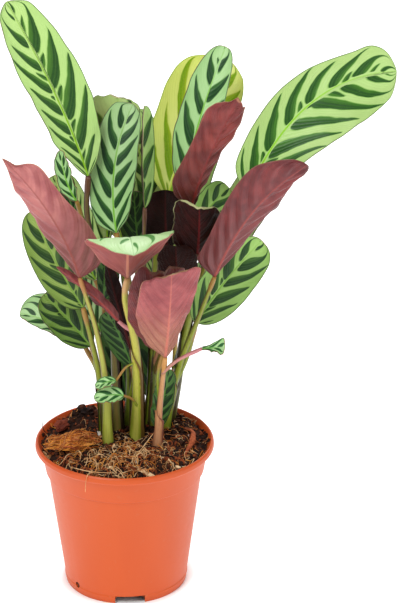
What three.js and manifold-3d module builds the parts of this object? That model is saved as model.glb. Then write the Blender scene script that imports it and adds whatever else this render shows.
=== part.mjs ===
// Potted ctenanthe: a nursery pot filled with bark soil, canes that rise from the soil, and patterned leaves.
// Millimetres, +Z up. The origin is the middle of the pot's flat base disc, and -Y is the plant's front.
import * as THREE from "three";
import { mergeVertices } from "three/addons/utils/BufferGeometryUtils.js";
import Module from "manifold-3d";

const wasm = await Module();
wasm.setup();

// ---- driving dimensions -------------------------------------------------------------------------------

const GAP = 0.3; // clearance between pieces that touch

const POT = {
  height: 103.5,
  rimRadius: 60, // outside of the lip
  rimOpening: 57.5, // inside of the lip
  lipHeight: 5,
  collarTop: 56, // outside of the wall just under the lip
  collarBottom: 53.2, // the collar ends in a small step
  wallTop: 51.6,
  stepHeight: 82.5,
  footTop: 41.9,
  footHeight: 5,
  baseRadius: 41,
  wall: 1.5,
  ringInner: 37, // the foot ring that the pot stands on
  discRadius: 19, // the middle of the base, level with the ring
  segments: 40,
};
const NOTCH = { count: 3, width: 20, depth: 11, height: 5.6, firstAzimuth: 5 };
const DRAIN = { count: 6, radius: 3.5, circle: 28.5 };

const SOIL = { edge: 98.5, crown: 101.5 };

// Larger pieces of bark and husk on the soil: middle, size, turn about the vertical and lean (degrees)
const BARK = [
  { name: "husk_chunk", at: [-35, -13], size: [29, 18, 9], turn: 20, lean: 4 },
  { name: "bark_chip", at: [-43, 17], size: [12, 8, 5], turn: 70, lean: -10 },
  { name: "bark_curl", at: [43, 3], size: [22, 5, 5], turn: 82, lean: 4 },
];
const BARK_LIFT = 1.2; // the lumps' undersides clear the crown of the soil by this much

const BLADE = {
  thickness: 0.8,
  lengthCells: 8,
  widthCells: 4,
  baseHalfWidth: 1.3,
  tipHalfWidth: 0.6,
  widest: 0.46, // where a blade is broadest, unless it says otherwise
  roundedBase: 0.1, // the shares of the length over which margins given by rows close at the two ends
  roundedTip: 0.05,
};
const STEM = { sides: 7, stepsPerBranch: 6, bladeGap: 0.8, footTilt: 0.22 };

// Each leaf blade. base, middle and tip are points on the midrib. facing is the way its upper side looks at the
// middle. left and right are the half widths seen from the upper side with the tip up. square is how blunt each
// side's end is: [left, right]. widest is where it is broadest, as a share of its length. cup is how far the
// cross-section bends, as half an arc in degrees: [at the base, at the tip], with raised margins positive.
// margins, where it is given, takes the place of square and widest for a blade of uneven outline. Each row
// is a share of the length, with the left and the right half width there.
const LEAVES = [
  {
    name: "leaf_top_left", base: [-22, 12, 287], middle: [-42, 30, 334], tip: [-74, 45, 394],
    facing: [0.1, -0.9, 0.35], left: 16, right: 23, square: [2.4, 2.4], cup: [25, 15],
    margins: [[0, 4, 4], [0.08, 6.5, 9], [0.2, 11.5, 16], [0.4, 15, 21.5], [0.6, 16, 23], [0.78, 15, 20.5],
      [0.9, 11.5, 14], [0.96, 8, 9], [1, 4, 4]],
  },
  {
    name: "leaf_upper_left", base: [-4, 8, 249], middle: [-5, 22, 291], tip: [7, 38, 327],
    facing: [-0.1, -0.9, 0.35], left: 15, right: 15, square: [2.4, 2.4], cup: [25, 15],
    margins: [[0, 5, 3], [0.05, 10, 6.5], [0.1, 12.5, 9.3], [0.2, 14.5, 12.4], [0.35, 15.3, 14.6],
      [0.5, 15, 15], [0.7, 14.8, 13.6], [0.85, 14, 11], [0.95, 11, 7], [1, 6, 4]],
  },
  {
    name: "leaf_upper_left_rear", base: [-11, 29, 230], middle: [-9, 46, 285], tip: [-3, 60, 324],
    facing: [-0.1, -0.9, 0.35], left: 19, right: 15, square: [2.4, 2.4], cup: [25, 15],
    margins: [[0, 4, 3], [0.12, 7, 4], [0.25, 10, 5], [0.5, 17, 10], [0.75, 19, 14], [0.9, 18, 16],
      [1, 14, 15]],
  },
  {
    name: "leaf_folded_centre", base: [15, -6, 272], middle: [14, 0, 304], tip: [15, 6, 337],
    facing: [0.9, -0.4, 0.1], left: 9, right: 10, square: [2.2, 2.6], cup: [50, 50],
  },
  {
    name: "leaf_backlit_centre", base: [29, 16, 270], middle: [47, 36, 314], tip: [72, 52, 350],
    facing: [0.1, -0.9, 0.35], left: 30, right: 22, square: [2.4, 2.4], cup: [25, 15],
    margins: [[0, 4, 5], [0.1, 14, 11], [0.2, 21, 20], [0.3, 24, 23], [0.5, 27.5, 22], [0.7, 30, 21],
      [0.85, 26, 18], [0.95, 15, 12], [1, 6, 6]],
  },
  {
    name: "leaf_top_centre", base: [40, 0, 285], middle: [51, 12, 328], tip: [67, 26, 370],
    facing: [0.1, -0.9, 0.3], left: 15, right: 12, square: [2.6, 2.6], cup: [30, 20],
  },
  {
    name: "leaf_purple_centre", base: [45, -10, 273], middle: [56, -26, 314], tip: [74, -38, 356],
    facing: [-0.1, 0.9, 0.3], left: 10, right: 17, square: [2.4, 2.4], cup: [40, 25],
    margins: [[0, 3, 6], [0.08, 3, 13], [0.23, 3.8, 16.5], [0.43, 7.5, 14.5], [0.63, 9, 13.5],
      [0.77, 10.5, 14.5], [0.87, 10, 14], [0.95, 8, 8], [1, 4, 3]],
  },
  {
    name: "leaf_top_right", base: [81, 12, 274], middle: [122, 28, 331], tip: [178, 42, 348],
    facing: [-0.1, -0.9, 0.4], left: 20, right: 30, square: [2.4, 2.4], cup: [20, 12],
    margins: [[0, 8, 8], [0.08, 15, 15], [0.2, 17.5, 22], [0.4, 20, 28.5], [0.55, 19.5, 30],
      [0.7, 17.5, 29], [0.8, 17, 26.5], [0.88, 17.5, 22.5], [0.93, 13, 19], [0.97, 7, 15], [1, 3, 11]],
  },
  {
    name: "leaf_purple_right", base: [60, -18, 229], middle: [84, -42, 284], tip: [117, -58, 321],
    facing: [-0.3, 0.85, 0.2], left: 15.5, right: 21, square: [2.4, 2.4], cup: [45, 25],
    margins: [[0, 4, 7], [0.06, 5, 15], [0.14, 9, 15.5], [0.25, 14, 15.5], [0.45, 17, 18],
      [0.6, 15.5, 20.5], [0.75, 11, 21], [0.88, 8, 15], [1, 4, 5]],
  },
  {
    name: "leaf_maroon_small", base: [29, 4, 239], middle: [28, 6, 260], tip: [28, 10, 278],
    facing: [-0.2, 0.9, 0.1], left: 16, right: 15, square: [2.4, 2.4], cup: [35, 25],
    margins: [[0, 4, 6], [0.08, 7, 11], [0.25, 8.5, 14.5], [0.5, 12, 15], [0.75, 13.5, 13], [0.92, 9, 9],
      [1, 4, 4]],
  },
  {
    name: "leaf_maroon_cup", base: [49, -14, 243], middle: [50, -22, 264], tip: [50, -26, 281],
    facing: [0, 0.8, 0.5], left: 16, right: 17, square: [2.4, 2.4], cup: [45, 45],
    margins: [[0, 10, 10], [0.05, 14, 14], [0.15, 16.5, 16.5], [0.4, 16.5, 17.5], [0.7, 15, 17.5],
      [0.9, 13, 17], [1, 11, 14]],
  },
  {
    name: "leaf_maroon_low", base: [36, -10, 209], middle: [35.5, -16, 231], tip: [35, -20, 251],
    facing: [0.1, 0.9, 0.2], left: 14.5, right: 14, square: [2.8, 3], cup: [45, 40],
  },
  {
    name: "leaf_inner_right", base: [50, 14, 254], middle: [59, 19, 265], tip: [69, 26, 274],
    facing: [0, -0.9, 0.4], left: 11, right: 10, square: [3, 2.2], cup: [25, 15],
  },
  {
    name: "leaf_front_arching", base: [4, -30, 233], middle: [6, -60, 273], tip: [10, -96, 276],
    facing: [-0.1, 0.5, 0.86], left: 28, right: 27, square: [2.4, 2.4], cup: [14, -4],
    margins: [[0, 4, 4], [0.05, 8, 8], [0.12, 15, 15], [0.25, 23, 22], [0.4, 28, 27], [0.52, 28.5, 27.5],
      [0.62, 27.5, 27], [0.72, 25, 25], [0.82, 20, 20.5], [0.9, 13, 14], [0.96, 7, 7.5], [1, 2, 2]],
  },
  {
    name: "leaf_front_purple", base: [28, -32, 178], middle: [31, -50, 215], tip: [33, -62, 252],
    facing: [-0.1, 0.9, 0.3], left: 18, right: 21, square: [2.4, 2.4], cup: [35, 18],
    margins: [[0, 3, 3.5], [0.06, 4.2, 6], [0.19, 7, 14], [0.29, 9, 17.5], [0.43, 12, 21], [0.52, 13, 21.5],
      [0.6, 14.5, 21.2], [0.82, 18.4, 20], [0.93, 19, 19], [1, 19, 17]],
  },
  {
    name: "leaf_front_purple_rear", base: [26.5, -21, 176], middle: [26, -36, 211], tip: [28, -46, 249],
    facing: [-0.2, 0.9, 0.2], left: 13, right: 21, square: [2.4, 2.4], cup: [40, 25],
    margins: [[0, 3, 5], [0.1, 5, 12], [0.25, 8, 18], [0.45, 11, 22], [0.7, 13, 22], [0.9, 14, 19],
      [1, 14, 15]],
  },
  {
    name: "leaf_purple_left", base: [-27, -22, 230], middle: [-44, -40, 281], tip: [-72, -52, 323],
    facing: [0.2, 0.9, 0.2], left: 18, right: 14, square: [2.4, 2.4], cup: [35, 25],
    margins: [[0, 11, 3], [0.05, 16, 5], [0.12, 19, 8], [0.25, 19.5, 12], [0.4, 17.5, 14.5],
      [0.55, 14, 14.5], [0.7, 13.5, 12.5], [0.8, 14, 9.5], [0.85, 12.5, 7.5], [0.88, 9, 6],
      [0.91, 3.5, 4.5], [0.95, 2, 2.5], [1, 0.8, 0.8]],
  },
  {
    name: "leaf_left_rear", base: [-26, -6, 202], middle: [-46, 0, 232], tip: [-61, 6, 266],
    facing: [-0.2, -0.9, 0.4], left: 12, right: 16, square: [2.4, 2.6], cup: [20, 15],
  },
  {
    name: "leaf_low_left", base: [-22, 8, 168], middle: [-40, 12, 185], tip: [-53, 20, 200],
    facing: [-0.2, -0.8, 0.6], left: 11, right: 14, square: [2.4, 2.6], cup: [20, 15],
  },
  {
    name: "leaf_low_left_tip", base: [-27, 18, 164], middle: [-48, 24, 177], tip: [-70, 30, 182],
    facing: [-0.2, -0.7, 0.7], left: 7, right: 19, square: [2.4, 2.4], cup: [20, 15],
  },
  {
    name: "leaf_low_right", base: [48, 8, 185], middle: [68, 10, 215], tip: [91, 14, 241],
    facing: [0.1, -0.9, 0.4], left: 15, right: 18, square: [2.4, 3], cup: [20, 15],
  },
  {
    name: "leaf_rolled_young", base: [52, -40, 188], middle: [59.5, -42, 189.6], tip: [66.6, -44, 190.9],
    facing: [-0.1, -0.7, 0.7], left: 6, right: 6, square: [2.4, 2.4], cup: [50, 30],
    margins: [[0, 1, 1], [0.3, 2, 2.5], [0.6, 4, 4], [0.9, 6, 6], [1, 5, 5.5]],
  },
  {
    name: "leaf_sprout_low", base: [0, -12, 141], middle: [-9, -15, 143], tip: [-19, -18, 141],
    facing: [0, -0.6, 0.8], left: 6.5, right: 6, square: [2.2, 2.2], cup: [20, 20],
  },
  {
    name: "leaf_sprout_high", base: [-5, -12, 152], middle: [-12, -15, 152], tip: [-18, -17, 149],
    facing: [0, -0.6, 0.8], left: 4, right: 4, square: [2.2, 2.2], cup: [20, 20],
  },
  {
    name: "leaf_folded_left", base: [-29, -4, 276], middle: [-36, 2, 289], tip: [-39, 8, 306],
    facing: [-0.2, -0.9, 0.3], left: 6, right: 6, square: [2.4, 2.4], cup: [60, 45],
  },
  {
    name: "leaf_shaded_left", base: [5, 6, 154], middle: [-3, 7, 176], tip: [-12, 7, 193],
    facing: [-0.5, -0.7, 0.3], left: 11, right: 10, square: [2.4, 2.4], cup: [30, 20],
  },
  {
    name: "leaf_shaded_right", base: [22, 3, 110], middle: [26, 3, 131], tip: [31, 3, 153],
    facing: [0.1, -0.9, 0.3], left: 8, right: 7, square: [2.4, 2.4], cup: [35, 20],
  },
  {
    name: "leaf_dried_left", base: [-3, -12, 195], middle: [-18, -14, 213], tip: [-42, -16, 235],
    facing: [0.2, 0.9, 0.2], left: 5, right: 5, square: [2, 2], cup: [60, 60],
  },
  {
    name: "leaf_inner_left", base: [10, 28, 229], middle: [8, 34, 247], tip: [7, 42, 265],
    facing: [0, -0.9, 0.3], left: 11, right: 11, square: [2.4, 2.4], cup: [20, 15],
  },
  {
    name: "leaf_inner_purple", base: [5, -4, 171], middle: [-3, -1, 200], tip: [-10, 3, 229],
    facing: [0.2, 0.9, 0.1], left: 6, right: 6, square: [2.4, 2.4], cup: [50, 40],
  },
  {
    name: "leaf_left_inner", base: [-28, 17, 250], middle: [-33, 20, 262], tip: [-38, 23, 276],
    facing: [0.1, -0.9, 0.3], left: 7, right: 5, square: [2.4, 2.4], cup: [30, 20],
  },
  {
    name: "leaf_inner_olive", base: [-13, 9, 201], middle: [-12, 8.5, 222], tip: [-11, 8, 246],
    facing: [0, -0.9, 0.2], left: 5, right: 10, square: [2.4, 2.4], cup: [15, 10],
  },
  {
    name: "leaf_inner_low_left", base: [1, 31, 116], middle: [-3, 33, 150], tip: [-6, 36, 186],
    facing: [0, -0.9, 0.2], left: 13, right: 8, square: [2.4, 2.4], cup: [10, 10],
    margins: [[0, 4, 3], [0.25, 10, 6], [0.6, 13, 8], [0.85, 10, 7], [1, 5, 4]],
  },
  {
    name: "leaf_inner_low_right", base: [17, 32, 116], middle: [18, 34, 150], tip: [18, 37, 187],
    facing: [0, -0.9, 0.2], left: 10, right: 12, square: [2.4, 2.4], cup: [10, 10],
    margins: [[0, 3, 4], [0.3, 8, 8], [0.6, 10, 11], [0.85, 8, 12], [1, 4, 6]],
  },
  {
    name: "leaf_back_top", base: [36, 58, 232], middle: [46, 72, 275], tip: [60, 80, 308],
    facing: [0.1, -0.8, 0.5], left: 16, right: 16, square: [2.4, 2.6], cup: [25, 15],
  },
  {
    name: "leaf_back_upper_left", base: [-2, 52, 226], middle: [-6, 66, 258], tip: [-10, 74, 284],
    facing: [0.3, -0.8, 0.5], left: 15, right: 15, square: [2.4, 2.6], cup: [25, 15],
  },
  {
    name: "leaf_back_middle", base: [24, 62, 186], middle: [26, 90, 214], tip: [30, 110, 224],
    facing: [0, -0.5, 0.8], left: 17, right: 17, square: [2.4, 2.8], cup: [20, 10],
  },
  {
    name: "leaf_back_centre", base: [14, 62, 222], middle: [12, 84, 262], tip: [2, 100, 300],
    facing: [0.1, -0.8, 0.6], left: 18, right: 18, square: [2.4, 3.4], cup: [25, 15],
  },
  {
    name: "leaf_back_right", base: [58, 58, 205], middle: [84, 78, 242], tip: [112, 92, 280],
    facing: [-0.4, -0.7, 0.6], left: 18, right: 18, square: [3.4, 2.4], cup: [25, 15],
  },
  {
    name: "leaf_back_left", base: [-20, 54, 196], middle: [-36, 72, 228], tip: [-48, 84, 260],
    facing: [0.4, -0.7, 0.6], left: 17, right: 17, square: [2.4, 3.4], cup: [25, 15],
  },
  {
    name: "leaf_back_low_right", base: [34, 56, 158], middle: [56, 80, 184], tip: [70, 100, 200],
    facing: [-0.3, -0.4, 0.8], left: 15, right: 16, square: [3, 2.4], cup: [20, 10],
  },
  {
    name: "leaf_back_low_left", base: [-14, 54, 152], middle: [-32, 78, 178], tip: [-44, 98, 192],
    facing: [0.3, -0.4, 0.8], left: 15, right: 15, square: [2.4, 3], cup: [20, 10],
  },
];

// Each cane with its petioles. A branch starts on the soil, given as [x, y], or inside an earlier branch, given
// as [x, y, z]. It passes the points of via and ends at its leaf. radius is [at its start, at the leaf].
const STEMS = [
  {
    name: "stem_front",
    branches: [
      {
        from: [8, 8], via: [[9, 3, 132], [8, -9, 177], [2, -24, 217]],
        leaf: "leaf_front_arching", radius: [4.2, 1.7],
      },
      { from: [9, 2, 126], via: [[5, -6, 136]], leaf: "leaf_sprout_low", radius: [1.2, 0.9] },
      { from: [8, -5, 162], via: [[2, -10, 161]], leaf: "leaf_sprout_high", radius: [0.9, 0.8] },
      { from: [6, -14, 189], via: [[2, -13, 191]], leaf: "leaf_dried_left", radius: [1.2, 1] },
      { from: [9, 1, 140], via: [[7, 2, 156]], leaf: "leaf_inner_purple", radius: [1.4, 1.2] },
    ],
  },
  {
    name: "stem_front_right",
    branches: [
      { from: [22, -6], via: [[24, -14, 135]], leaf: "leaf_front_purple", radius: [3, 1.8] },
      { from: [24, -14, 138], via: [[23, -19, 160]], leaf: "leaf_front_purple_rear", radius: [1.6, 1.4] },
      { from: [26, -26, 164], via: [[36, -34, 177]], leaf: "leaf_rolled_young", radius: [1.5, 1.3] },
    ],
  },
  {
    name: "stem_right",
    branches: [
      {
        from: [26, 20], via: [[36, 10, 150], [50, -4, 195]],
        leaf: "leaf_purple_right", radius: [3.2, 1.7],
      },
      { from: [33, 14, 136], via: [[42, 10, 160]], leaf: "leaf_low_right", radius: [1.8, 1.4] },
    ],
  },
  {
    name: "stem_left",
    branches: [
      {
        from: [-11, -3], via: [[-12, -6, 148], [-18, -13, 192]],
        leaf: "leaf_purple_left", radius: [3, 1.6],
      },
    ],
  },
  {
    name: "stem_far_left",
    branches: [
      { from: [-14, 10], via: [[-17, 4, 150]], leaf: "leaf_left_rear", radius: [2.8, 1.4] },
      { from: [-15, 8, 122], via: [[-16, 8, 148]], leaf: "leaf_low_left", radius: [1.6, 1.3] },
      { from: [-15, 9, 118], via: [[-18, 15, 145]], leaf: "leaf_low_left_tip", radius: [1.6, 1.3] },
    ],
  },
  {
    name: "stem_rear_left",
    branches: [
      { from: [-4, 17], via: [[-9, 17, 190], [-23, 14, 258]], leaf: "leaf_top_left", radius: [3, 1.6] },
      { from: [-15, 16, 220], via: [[-25, 4, 258]], leaf: "leaf_folded_left", radius: [1.5, 1.2] },
      { from: [-12, 17, 204], via: [[-21, 19, 228]], leaf: "leaf_left_inner", radius: [1.4, 1.2] },
      { from: [-7, 17, 172], via: [[-12, 11.5, 187]], leaf: "leaf_inner_olive", radius: [1.4, 1.2] },
    ],
  },
  {
    name: "stem_rear",
    branches: [
      { from: [3, 22], via: [[3, 22, 170], [-1, 15, 225]], leaf: "leaf_upper_left", radius: [2.8, 1.5] },
      { from: [3, 22, 150], via: [[-3, 27, 198]], leaf: "leaf_upper_left_rear", radius: [1.8, 1.4] },
      { from: [3, 22, 104], via: [[2, 28, 107.5]], leaf: "leaf_inner_low_left", radius: [1.6, 1.3] },
      { from: [3, 22, 165], via: [[8, 26, 205]], leaf: "leaf_inner_left", radius: [1.6, 1.3] },
      { from: [3, 22, 122], via: [[6, 12, 144]], leaf: "leaf_shaded_left", radius: [1.4, 1.1] },
    ],
  },
  {
    name: "stem_centre",
    branches: [
      {
        from: [16, 24], via: [[20, 22, 170], [22, 18, 235]],
        leaf: "leaf_backlit_centre", radius: [3.4, 1.6],
      },
      { from: [20, 22, 165], via: [[14, 6, 225]], leaf: "leaf_folded_centre", radius: [1.6, 1.2] },
      { from: [20, 22, 170], via: [[22, 8, 215]], leaf: "leaf_maroon_small", radius: [1.6, 1.2] },
      { from: [19, 22, 150], via: [[36, 10, 230]], leaf: "leaf_top_centre", radius: [2, 1.5] },
      { from: [19, 22, 145], via: [[42, 3, 235]], leaf: "leaf_purple_centre", radius: [1.8, 1.5] },
      { from: [20, 21, 158], via: [[38, 4, 212]], leaf: "leaf_maroon_cup", radius: [1.6, 1.3] },
      { from: [19, 22, 140], via: [[34, 6, 190]], leaf: "leaf_maroon_low", radius: [1.6, 1.2] },
      { from: [19, 22, 150], via: [[40, 18, 210]], leaf: "leaf_inner_right", radius: [1.6, 1.3] },
      { from: [16, 24, 104], via: [[17, 29.5, 108]], leaf: "leaf_inner_low_right", radius: [1.6, 1.3] },
    ],
  },
  {
    name: "stem_back_right",
    branches: [
      { from: [29, 33], via: [[46, 32, 190], [68, 24, 255]], leaf: "leaf_top_right", radius: [3.2, 1.7] },
      { from: [33, 33, 140], via: [[46, 46, 180]], leaf: "leaf_back_right", radius: [1.8, 1.5] },
      { from: [31, 33, 116], via: [[33, 44, 138]], leaf: "leaf_back_low_right", radius: [1.6, 1.4] },
      { from: [39, 33, 160], via: [[38, 44, 198]], leaf: "leaf_back_top", radius: [1.8, 1.5] },
    ],
  },
  {
    name: "stem_back",
    branches: [
      { from: [8, 38], via: [[10, 46, 170]], leaf: "leaf_back_centre", radius: [2.8, 1.5] },
      { from: [8, 40, 130], via: [[-8, 46, 168]], leaf: "leaf_back_left", radius: [1.6, 1.4] },
      { from: [8, 39, 112], via: [[-2, 44, 132]], leaf: "leaf_back_low_left", radius: [1.6, 1.4] },
      { from: [9, 43, 150], via: [[4, 48, 190]], leaf: "leaf_back_upper_left", radius: [1.6, 1.4] },
      { from: [9, 42, 138], via: [[16, 54, 162]], leaf: "leaf_back_middle", radius: [1.6, 1.4] },
    ],
  },
  {
    name: "stem_sprout",
    branches: [
      { from: [21, 2], via: [[21.5, 2.6, 105]], leaf: "leaf_shaded_right", radius: [1.5, 1.3] },
    ],
  },
];

// ---- shared shapes ------------------------------------------------------------------------------------

/** The mesh with only positions, its shared vertices joined. */
function joined(geometry) {
  const bare = geometry.clone();
  bare.deleteAttribute("normal");
  bare.deleteAttribute("uv");
  return mergeVertices(bare, 1e-3);
}

/** A closed three.js geometry as a manifold solid, for joins and cuts. */
function toSolid(geometry) {
  const mesh = joined(geometry);
  const vertProperties = new Float32Array(mesh.attributes.position.array);
  const triVerts = new Uint32Array(mesh.index.array);
  return new wasm.Manifold(new wasm.Mesh({ numProp: 3, vertProperties, triVerts }));
}

/** A manifold solid back as a three.js geometry. */
function toGeometry(solid) {
  const mesh = solid.getMesh();
  const geometry = new THREE.BufferGeometry();
  geometry.setAttribute("position", new THREE.BufferAttribute(mesh.vertProperties, 3));
  geometry.setIndex(new THREE.BufferAttribute(mesh.triVerts, 1));
  geometry.computeVertexNormals();
  return geometry;
}

/** A closed radius and height outline turned about +Z. */
function turned(outline, segments) {
  const points = outline.map(([radius, height]) => new THREE.Vector2(radius, height));
  return new THREE.LatheGeometry(points, segments).rotateX(Math.PI / 2);
}

const toVector = ([x, y, z]) => new THREE.Vector3(x, y, z);

// ---- pot and soil -------------------------------------------------------------------------------------

function makePot() {
  const { height, wall } = POT;
  const lipBottom = height - POT.lipHeight;
  const body = toSolid(turned([
    [0, 0],
    [POT.discRadius, 0],
    [POT.discRadius + 1, POT.footHeight],
    [POT.ringInner - 1, POT.footHeight],
    [POT.ringInner, 0],
    [POT.baseRadius, 0],
    [POT.footTop, POT.footHeight],
    [POT.footTop - 0.4, POT.footHeight + 0.6],
    [POT.wallTop, POT.stepHeight - 1],
    [POT.collarBottom, POT.stepHeight],
    [POT.collarTop, lipBottom],
    [POT.rimRadius - 0.8, lipBottom],
    [POT.rimRadius, lipBottom + 1.2],
    [POT.rimRadius - 0.3, height - 1.2],
    [POT.rimRadius - 1.3, height],
    [POT.rimOpening + 0.6, height],
    [POT.rimOpening, height - 0.8],
    [POT.collarTop - wall, lipBottom - 1],
    [POT.wallTop - wall, POT.stepHeight - 1],
    [POT.footTop - wall, POT.footHeight + wall],
    [POT.discRadius - 1, POT.footHeight + wall],
    [POT.discRadius - 2, wall],
    [0, wall],
  ], POT.segments));
  const cutters = [];
  for (let i = 0; i < NOTCH.count; i++) {
    const angle = THREE.MathUtils.degToRad(NOTCH.firstAzimuth + i * 360 / NOTCH.count);
    const notch = new THREE.BoxGeometry(NOTCH.width, NOTCH.depth, 2 * NOTCH.height);
    cutters.push(toSolid(notch.translate(0, -POT.baseRadius, 0).rotateZ(angle)));
  }
  for (let i = 0; i < DRAIN.count; i++) {
    const angle = THREE.MathUtils.degToRad(NOTCH.firstAzimuth + (i + 0.5) * 360 / DRAIN.count);
    const hole = new THREE.CylinderGeometry(DRAIN.radius, DRAIN.radius, 8, 12).rotateX(Math.PI / 2);
    cutters.push(toSolid(hole.translate(0, -DRAIN.circle, POT.footHeight + 1).rotateZ(angle)));
  }
  return toGeometry(cutters.reduce((pot, cutter) => pot.subtract(cutter), body));
}

/** Height of the soil at a distance from the pot's axis. */
function soilHeight(radius) {
  const t = Math.min(radius / POT.rimOpening, 1);
  return SOIL.crown - (SOIL.crown - SOIL.edge) * t * t;
}

function makeSoil() {
  const { wall } = POT;
  const lipBottom = POT.height - POT.lipHeight;
  const floor = POT.footHeight + wall + GAP;
  const edgeRadius = POT.collarTop - wall + 0.5;
  return turned([
    [0, wall + GAP],
    [POT.discRadius - 2.4, wall + GAP],
    [POT.discRadius - 1.4, floor],
    [POT.footTop - wall - 1.1 * GAP, floor],
    [POT.wallTop - wall - 1.4 * GAP, POT.stepHeight - 1],
    [POT.collarTop - wall - 1.4 * GAP, lipBottom - 1],
    [edgeRadius, soilHeight(edgeRadius) + 0.4],
    [0.75 * edgeRadius, soilHeight(0.75 * edgeRadius)],
    [0.4 * edgeRadius, soilHeight(0.4 * edgeRadius)],
    [0, SOIL.crown],
  ], POT.segments);
}

/** A broken piece of bark: a low faceted lump, pressed flat, lying on the soil. */
function makeBark({ at: [x, y], size, turn, lean }) {
  const lump = new THREE.IcosahedronGeometry(0.5, 1).scale(...size);
  lump.rotateY(THREE.MathUtils.degToRad(lean)).rotateZ(THREE.MathUtils.degToRad(turn));
  lump.computeBoundingBox();
  const rest = soilHeight(Math.hypot(x, y)) + BARK_LIFT;
  return lump.translate(x, y, rest - lump.boundingBox.min.z);
}

// ---- canes and petioles -------------------------------------------------------------------------------

/** A tapered rod whose axis follows a curve. */
function rodAlong(curve, startRadius, endRadius) {
  const steps = STEM.stepsPerBranch;
  const rod = new THREE.CylinderGeometry(endRadius, startRadius, 1, STEM.sides, steps);
  const frames = curve.computeFrenetFrames(steps);
  const position = rod.attributes.position;
  for (let i = 0; i < position.count; i++) {
    const t = position.getY(i) + 0.5;
    const step = Math.round(t * steps);
    const point = curve.getPointAt(t)
      .addScaledVector(frames.normals[step], position.getZ(i))
      .addScaledVector(frames.binormals[step], position.getX(i));
    position.setXYZ(i, point.x, point.y, point.z);
  }
  return rod;
}

function makeStem(stem) {
  const rods = stem.branches.map((branch) => {
    const leaf = LEAVES.find((each) => each.name === branch.leaf);
    const base = toVector(leaf.base);
    const end = base.addScaledVector(midribDirection(leaf, 0), -STEM.bladeGap);
    const [x, y, z = soilHeight(Math.hypot(x, y)) + GAP + STEM.footTilt * branch.radius[0]] = branch.from;
    const curve = new THREE.CatmullRomCurve3([new THREE.Vector3(x, y, z), ...branch.via.map(toVector), end]);
    return toSolid(rodAlong(curve, ...branch.radius));
  });
  return toGeometry(rods.reduce((whole, rod) => whole.add(rod)));
}

// ---- leaf blades --------------------------------------------------------------------------------------

/** A point on the midrib, on the parabola through the leaf's three points. */
function midribPoint(leaf, u) {
  return toVector(leaf.base).multiplyScalar((1 - u) * (1 - 2 * u))
    .addScaledVector(toVector(leaf.middle), 4 * u * (1 - u))
    .addScaledVector(toVector(leaf.tip), u * (2 * u - 1));
}

function midribDirection(leaf, u) {
  return toVector(leaf.base).multiplyScalar(4 * u - 3)
    .addScaledVector(toVector(leaf.middle), 4 - 8 * u)
    .addScaledVector(toVector(leaf.tip), 4 * u - 1)
    .normalize();
}

/** A value read from rows of numbers at a share of their first column, on a smooth curve from row to row. */
function throughRows(rows, share, column) {
  const last = rows.length - 1;
  const at = Math.max(0, rows.slice(0, last).findLastIndex((row) => row[0] <= share));
  const slope = (i) => {
    const before = rows[Math.max(i - 1, 0)];
    const after = rows[Math.min(i + 1, last)];
    return (after[column] - before[column]) / (after[0] - before[0]);
  };
  const [from, to] = [rows[at], rows[at + 1]];
  const span = to[0] - from[0];
  const t = THREE.MathUtils.clamp((share - from[0]) / span, 0, 1);
  return from[column] * (2 * t ** 3 - 3 * t ** 2 + 1) + slope(at) * span * (t ** 3 - 2 * t ** 2 + t)
    + to[column] * (3 * t ** 2 - 2 * t ** 3) + slope(at + 1) * span * (t ** 3 - t ** 2);
}

/** Half width of a blade at u on one side (0 left, 1 right), before the least width is applied. */
function outline(leaf, u, side) {
  if (leaf.margins) {
    const baseEnd = (1 - Math.max(0, 1 - u / BLADE.roundedBase) ** 2) ** 0.5;
    const tipEnd = (1 - Math.max(0, 1 - (1 - u) / BLADE.roundedTip) ** 2) ** 0.5;
    return throughRows(leaf.margins, u, side + 1) * baseEnd * tipEnd;
  }
  const { left, right, square, widest = BLADE.widest } = leaf;
  const half = [left, right][side];
  if (u < widest) {
    return half * (1 - (1 - u / widest) ** 2) ** 0.5;
  }
  return half * Math.max(0, 1 - ((u - widest) / (1 - widest)) ** square[side]) ** (1 / square[side]);
}

/** A point of the blade: u from base to tip, v from left margin (-1) to right (1), lift above the surface. */
function bladePoint(leaf, u, v, lift) {
  const along = midribDirection(leaf, u);
  const normal = toVector(leaf.facing).projectOnPlane(along).normalize();
  const side = new THREE.Vector3().crossVectors(along, normal);
  const least = THREE.MathUtils.lerp(BLADE.baseHalfWidth, BLADE.tipHalfWidth, u);
  const width = Math.max(outline(leaf, u, v < 0 ? 0 : 1), least);
  const bend = THREE.MathUtils.degToRad(THREE.MathUtils.lerp(leaf.cup[0], leaf.cup[1], u));
  const radius = width / bend;
  return midribPoint(leaf, u)
    .addScaledVector(side, (radius - lift) * Math.sin(bend * v))
    .addScaledVector(normal, radius - (radius - lift) * Math.cos(bend * v));
}

/** A thin box, bent to the blade's surface. */
function makeBlade(leaf) {
  const blade = new THREE.BoxGeometry(1, 1, BLADE.thickness, BLADE.widthCells, BLADE.lengthCells, 1);
  const position = blade.attributes.position;
  for (let i = 0; i < position.count; i++) {
    const even = position.getY(i) + 0.5;
    const u = THREE.MathUtils.lerp(even, 0.5 - 0.5 * Math.cos(Math.PI * even), 0.6);
    const point = bladePoint(leaf, u, 2 * position.getX(i), position.getZ(i));
    position.setXYZ(i, point.x, point.y, point.z);
  }
  return joined(blade);
}

// ---- the plant ----------------------------------------------------------------------------------------

const finish = (color, roughness) => new THREE.MeshStandardMaterial({ color, roughness, metalness: 0 });
const TERRACOTTA = finish(0xe4693c, 0.5);
const SOIL_BROWN = finish(0x3b2417, 0.95);
const BARK_BROWN = finish(0x9a5a2c, 0.85);
const STEM_GREEN = finish(0x7d9a3c, 0.5);
const LEAF_GREEN = finish(0x9cc868, 0.45);

const plant = new THREE.Group();

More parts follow.
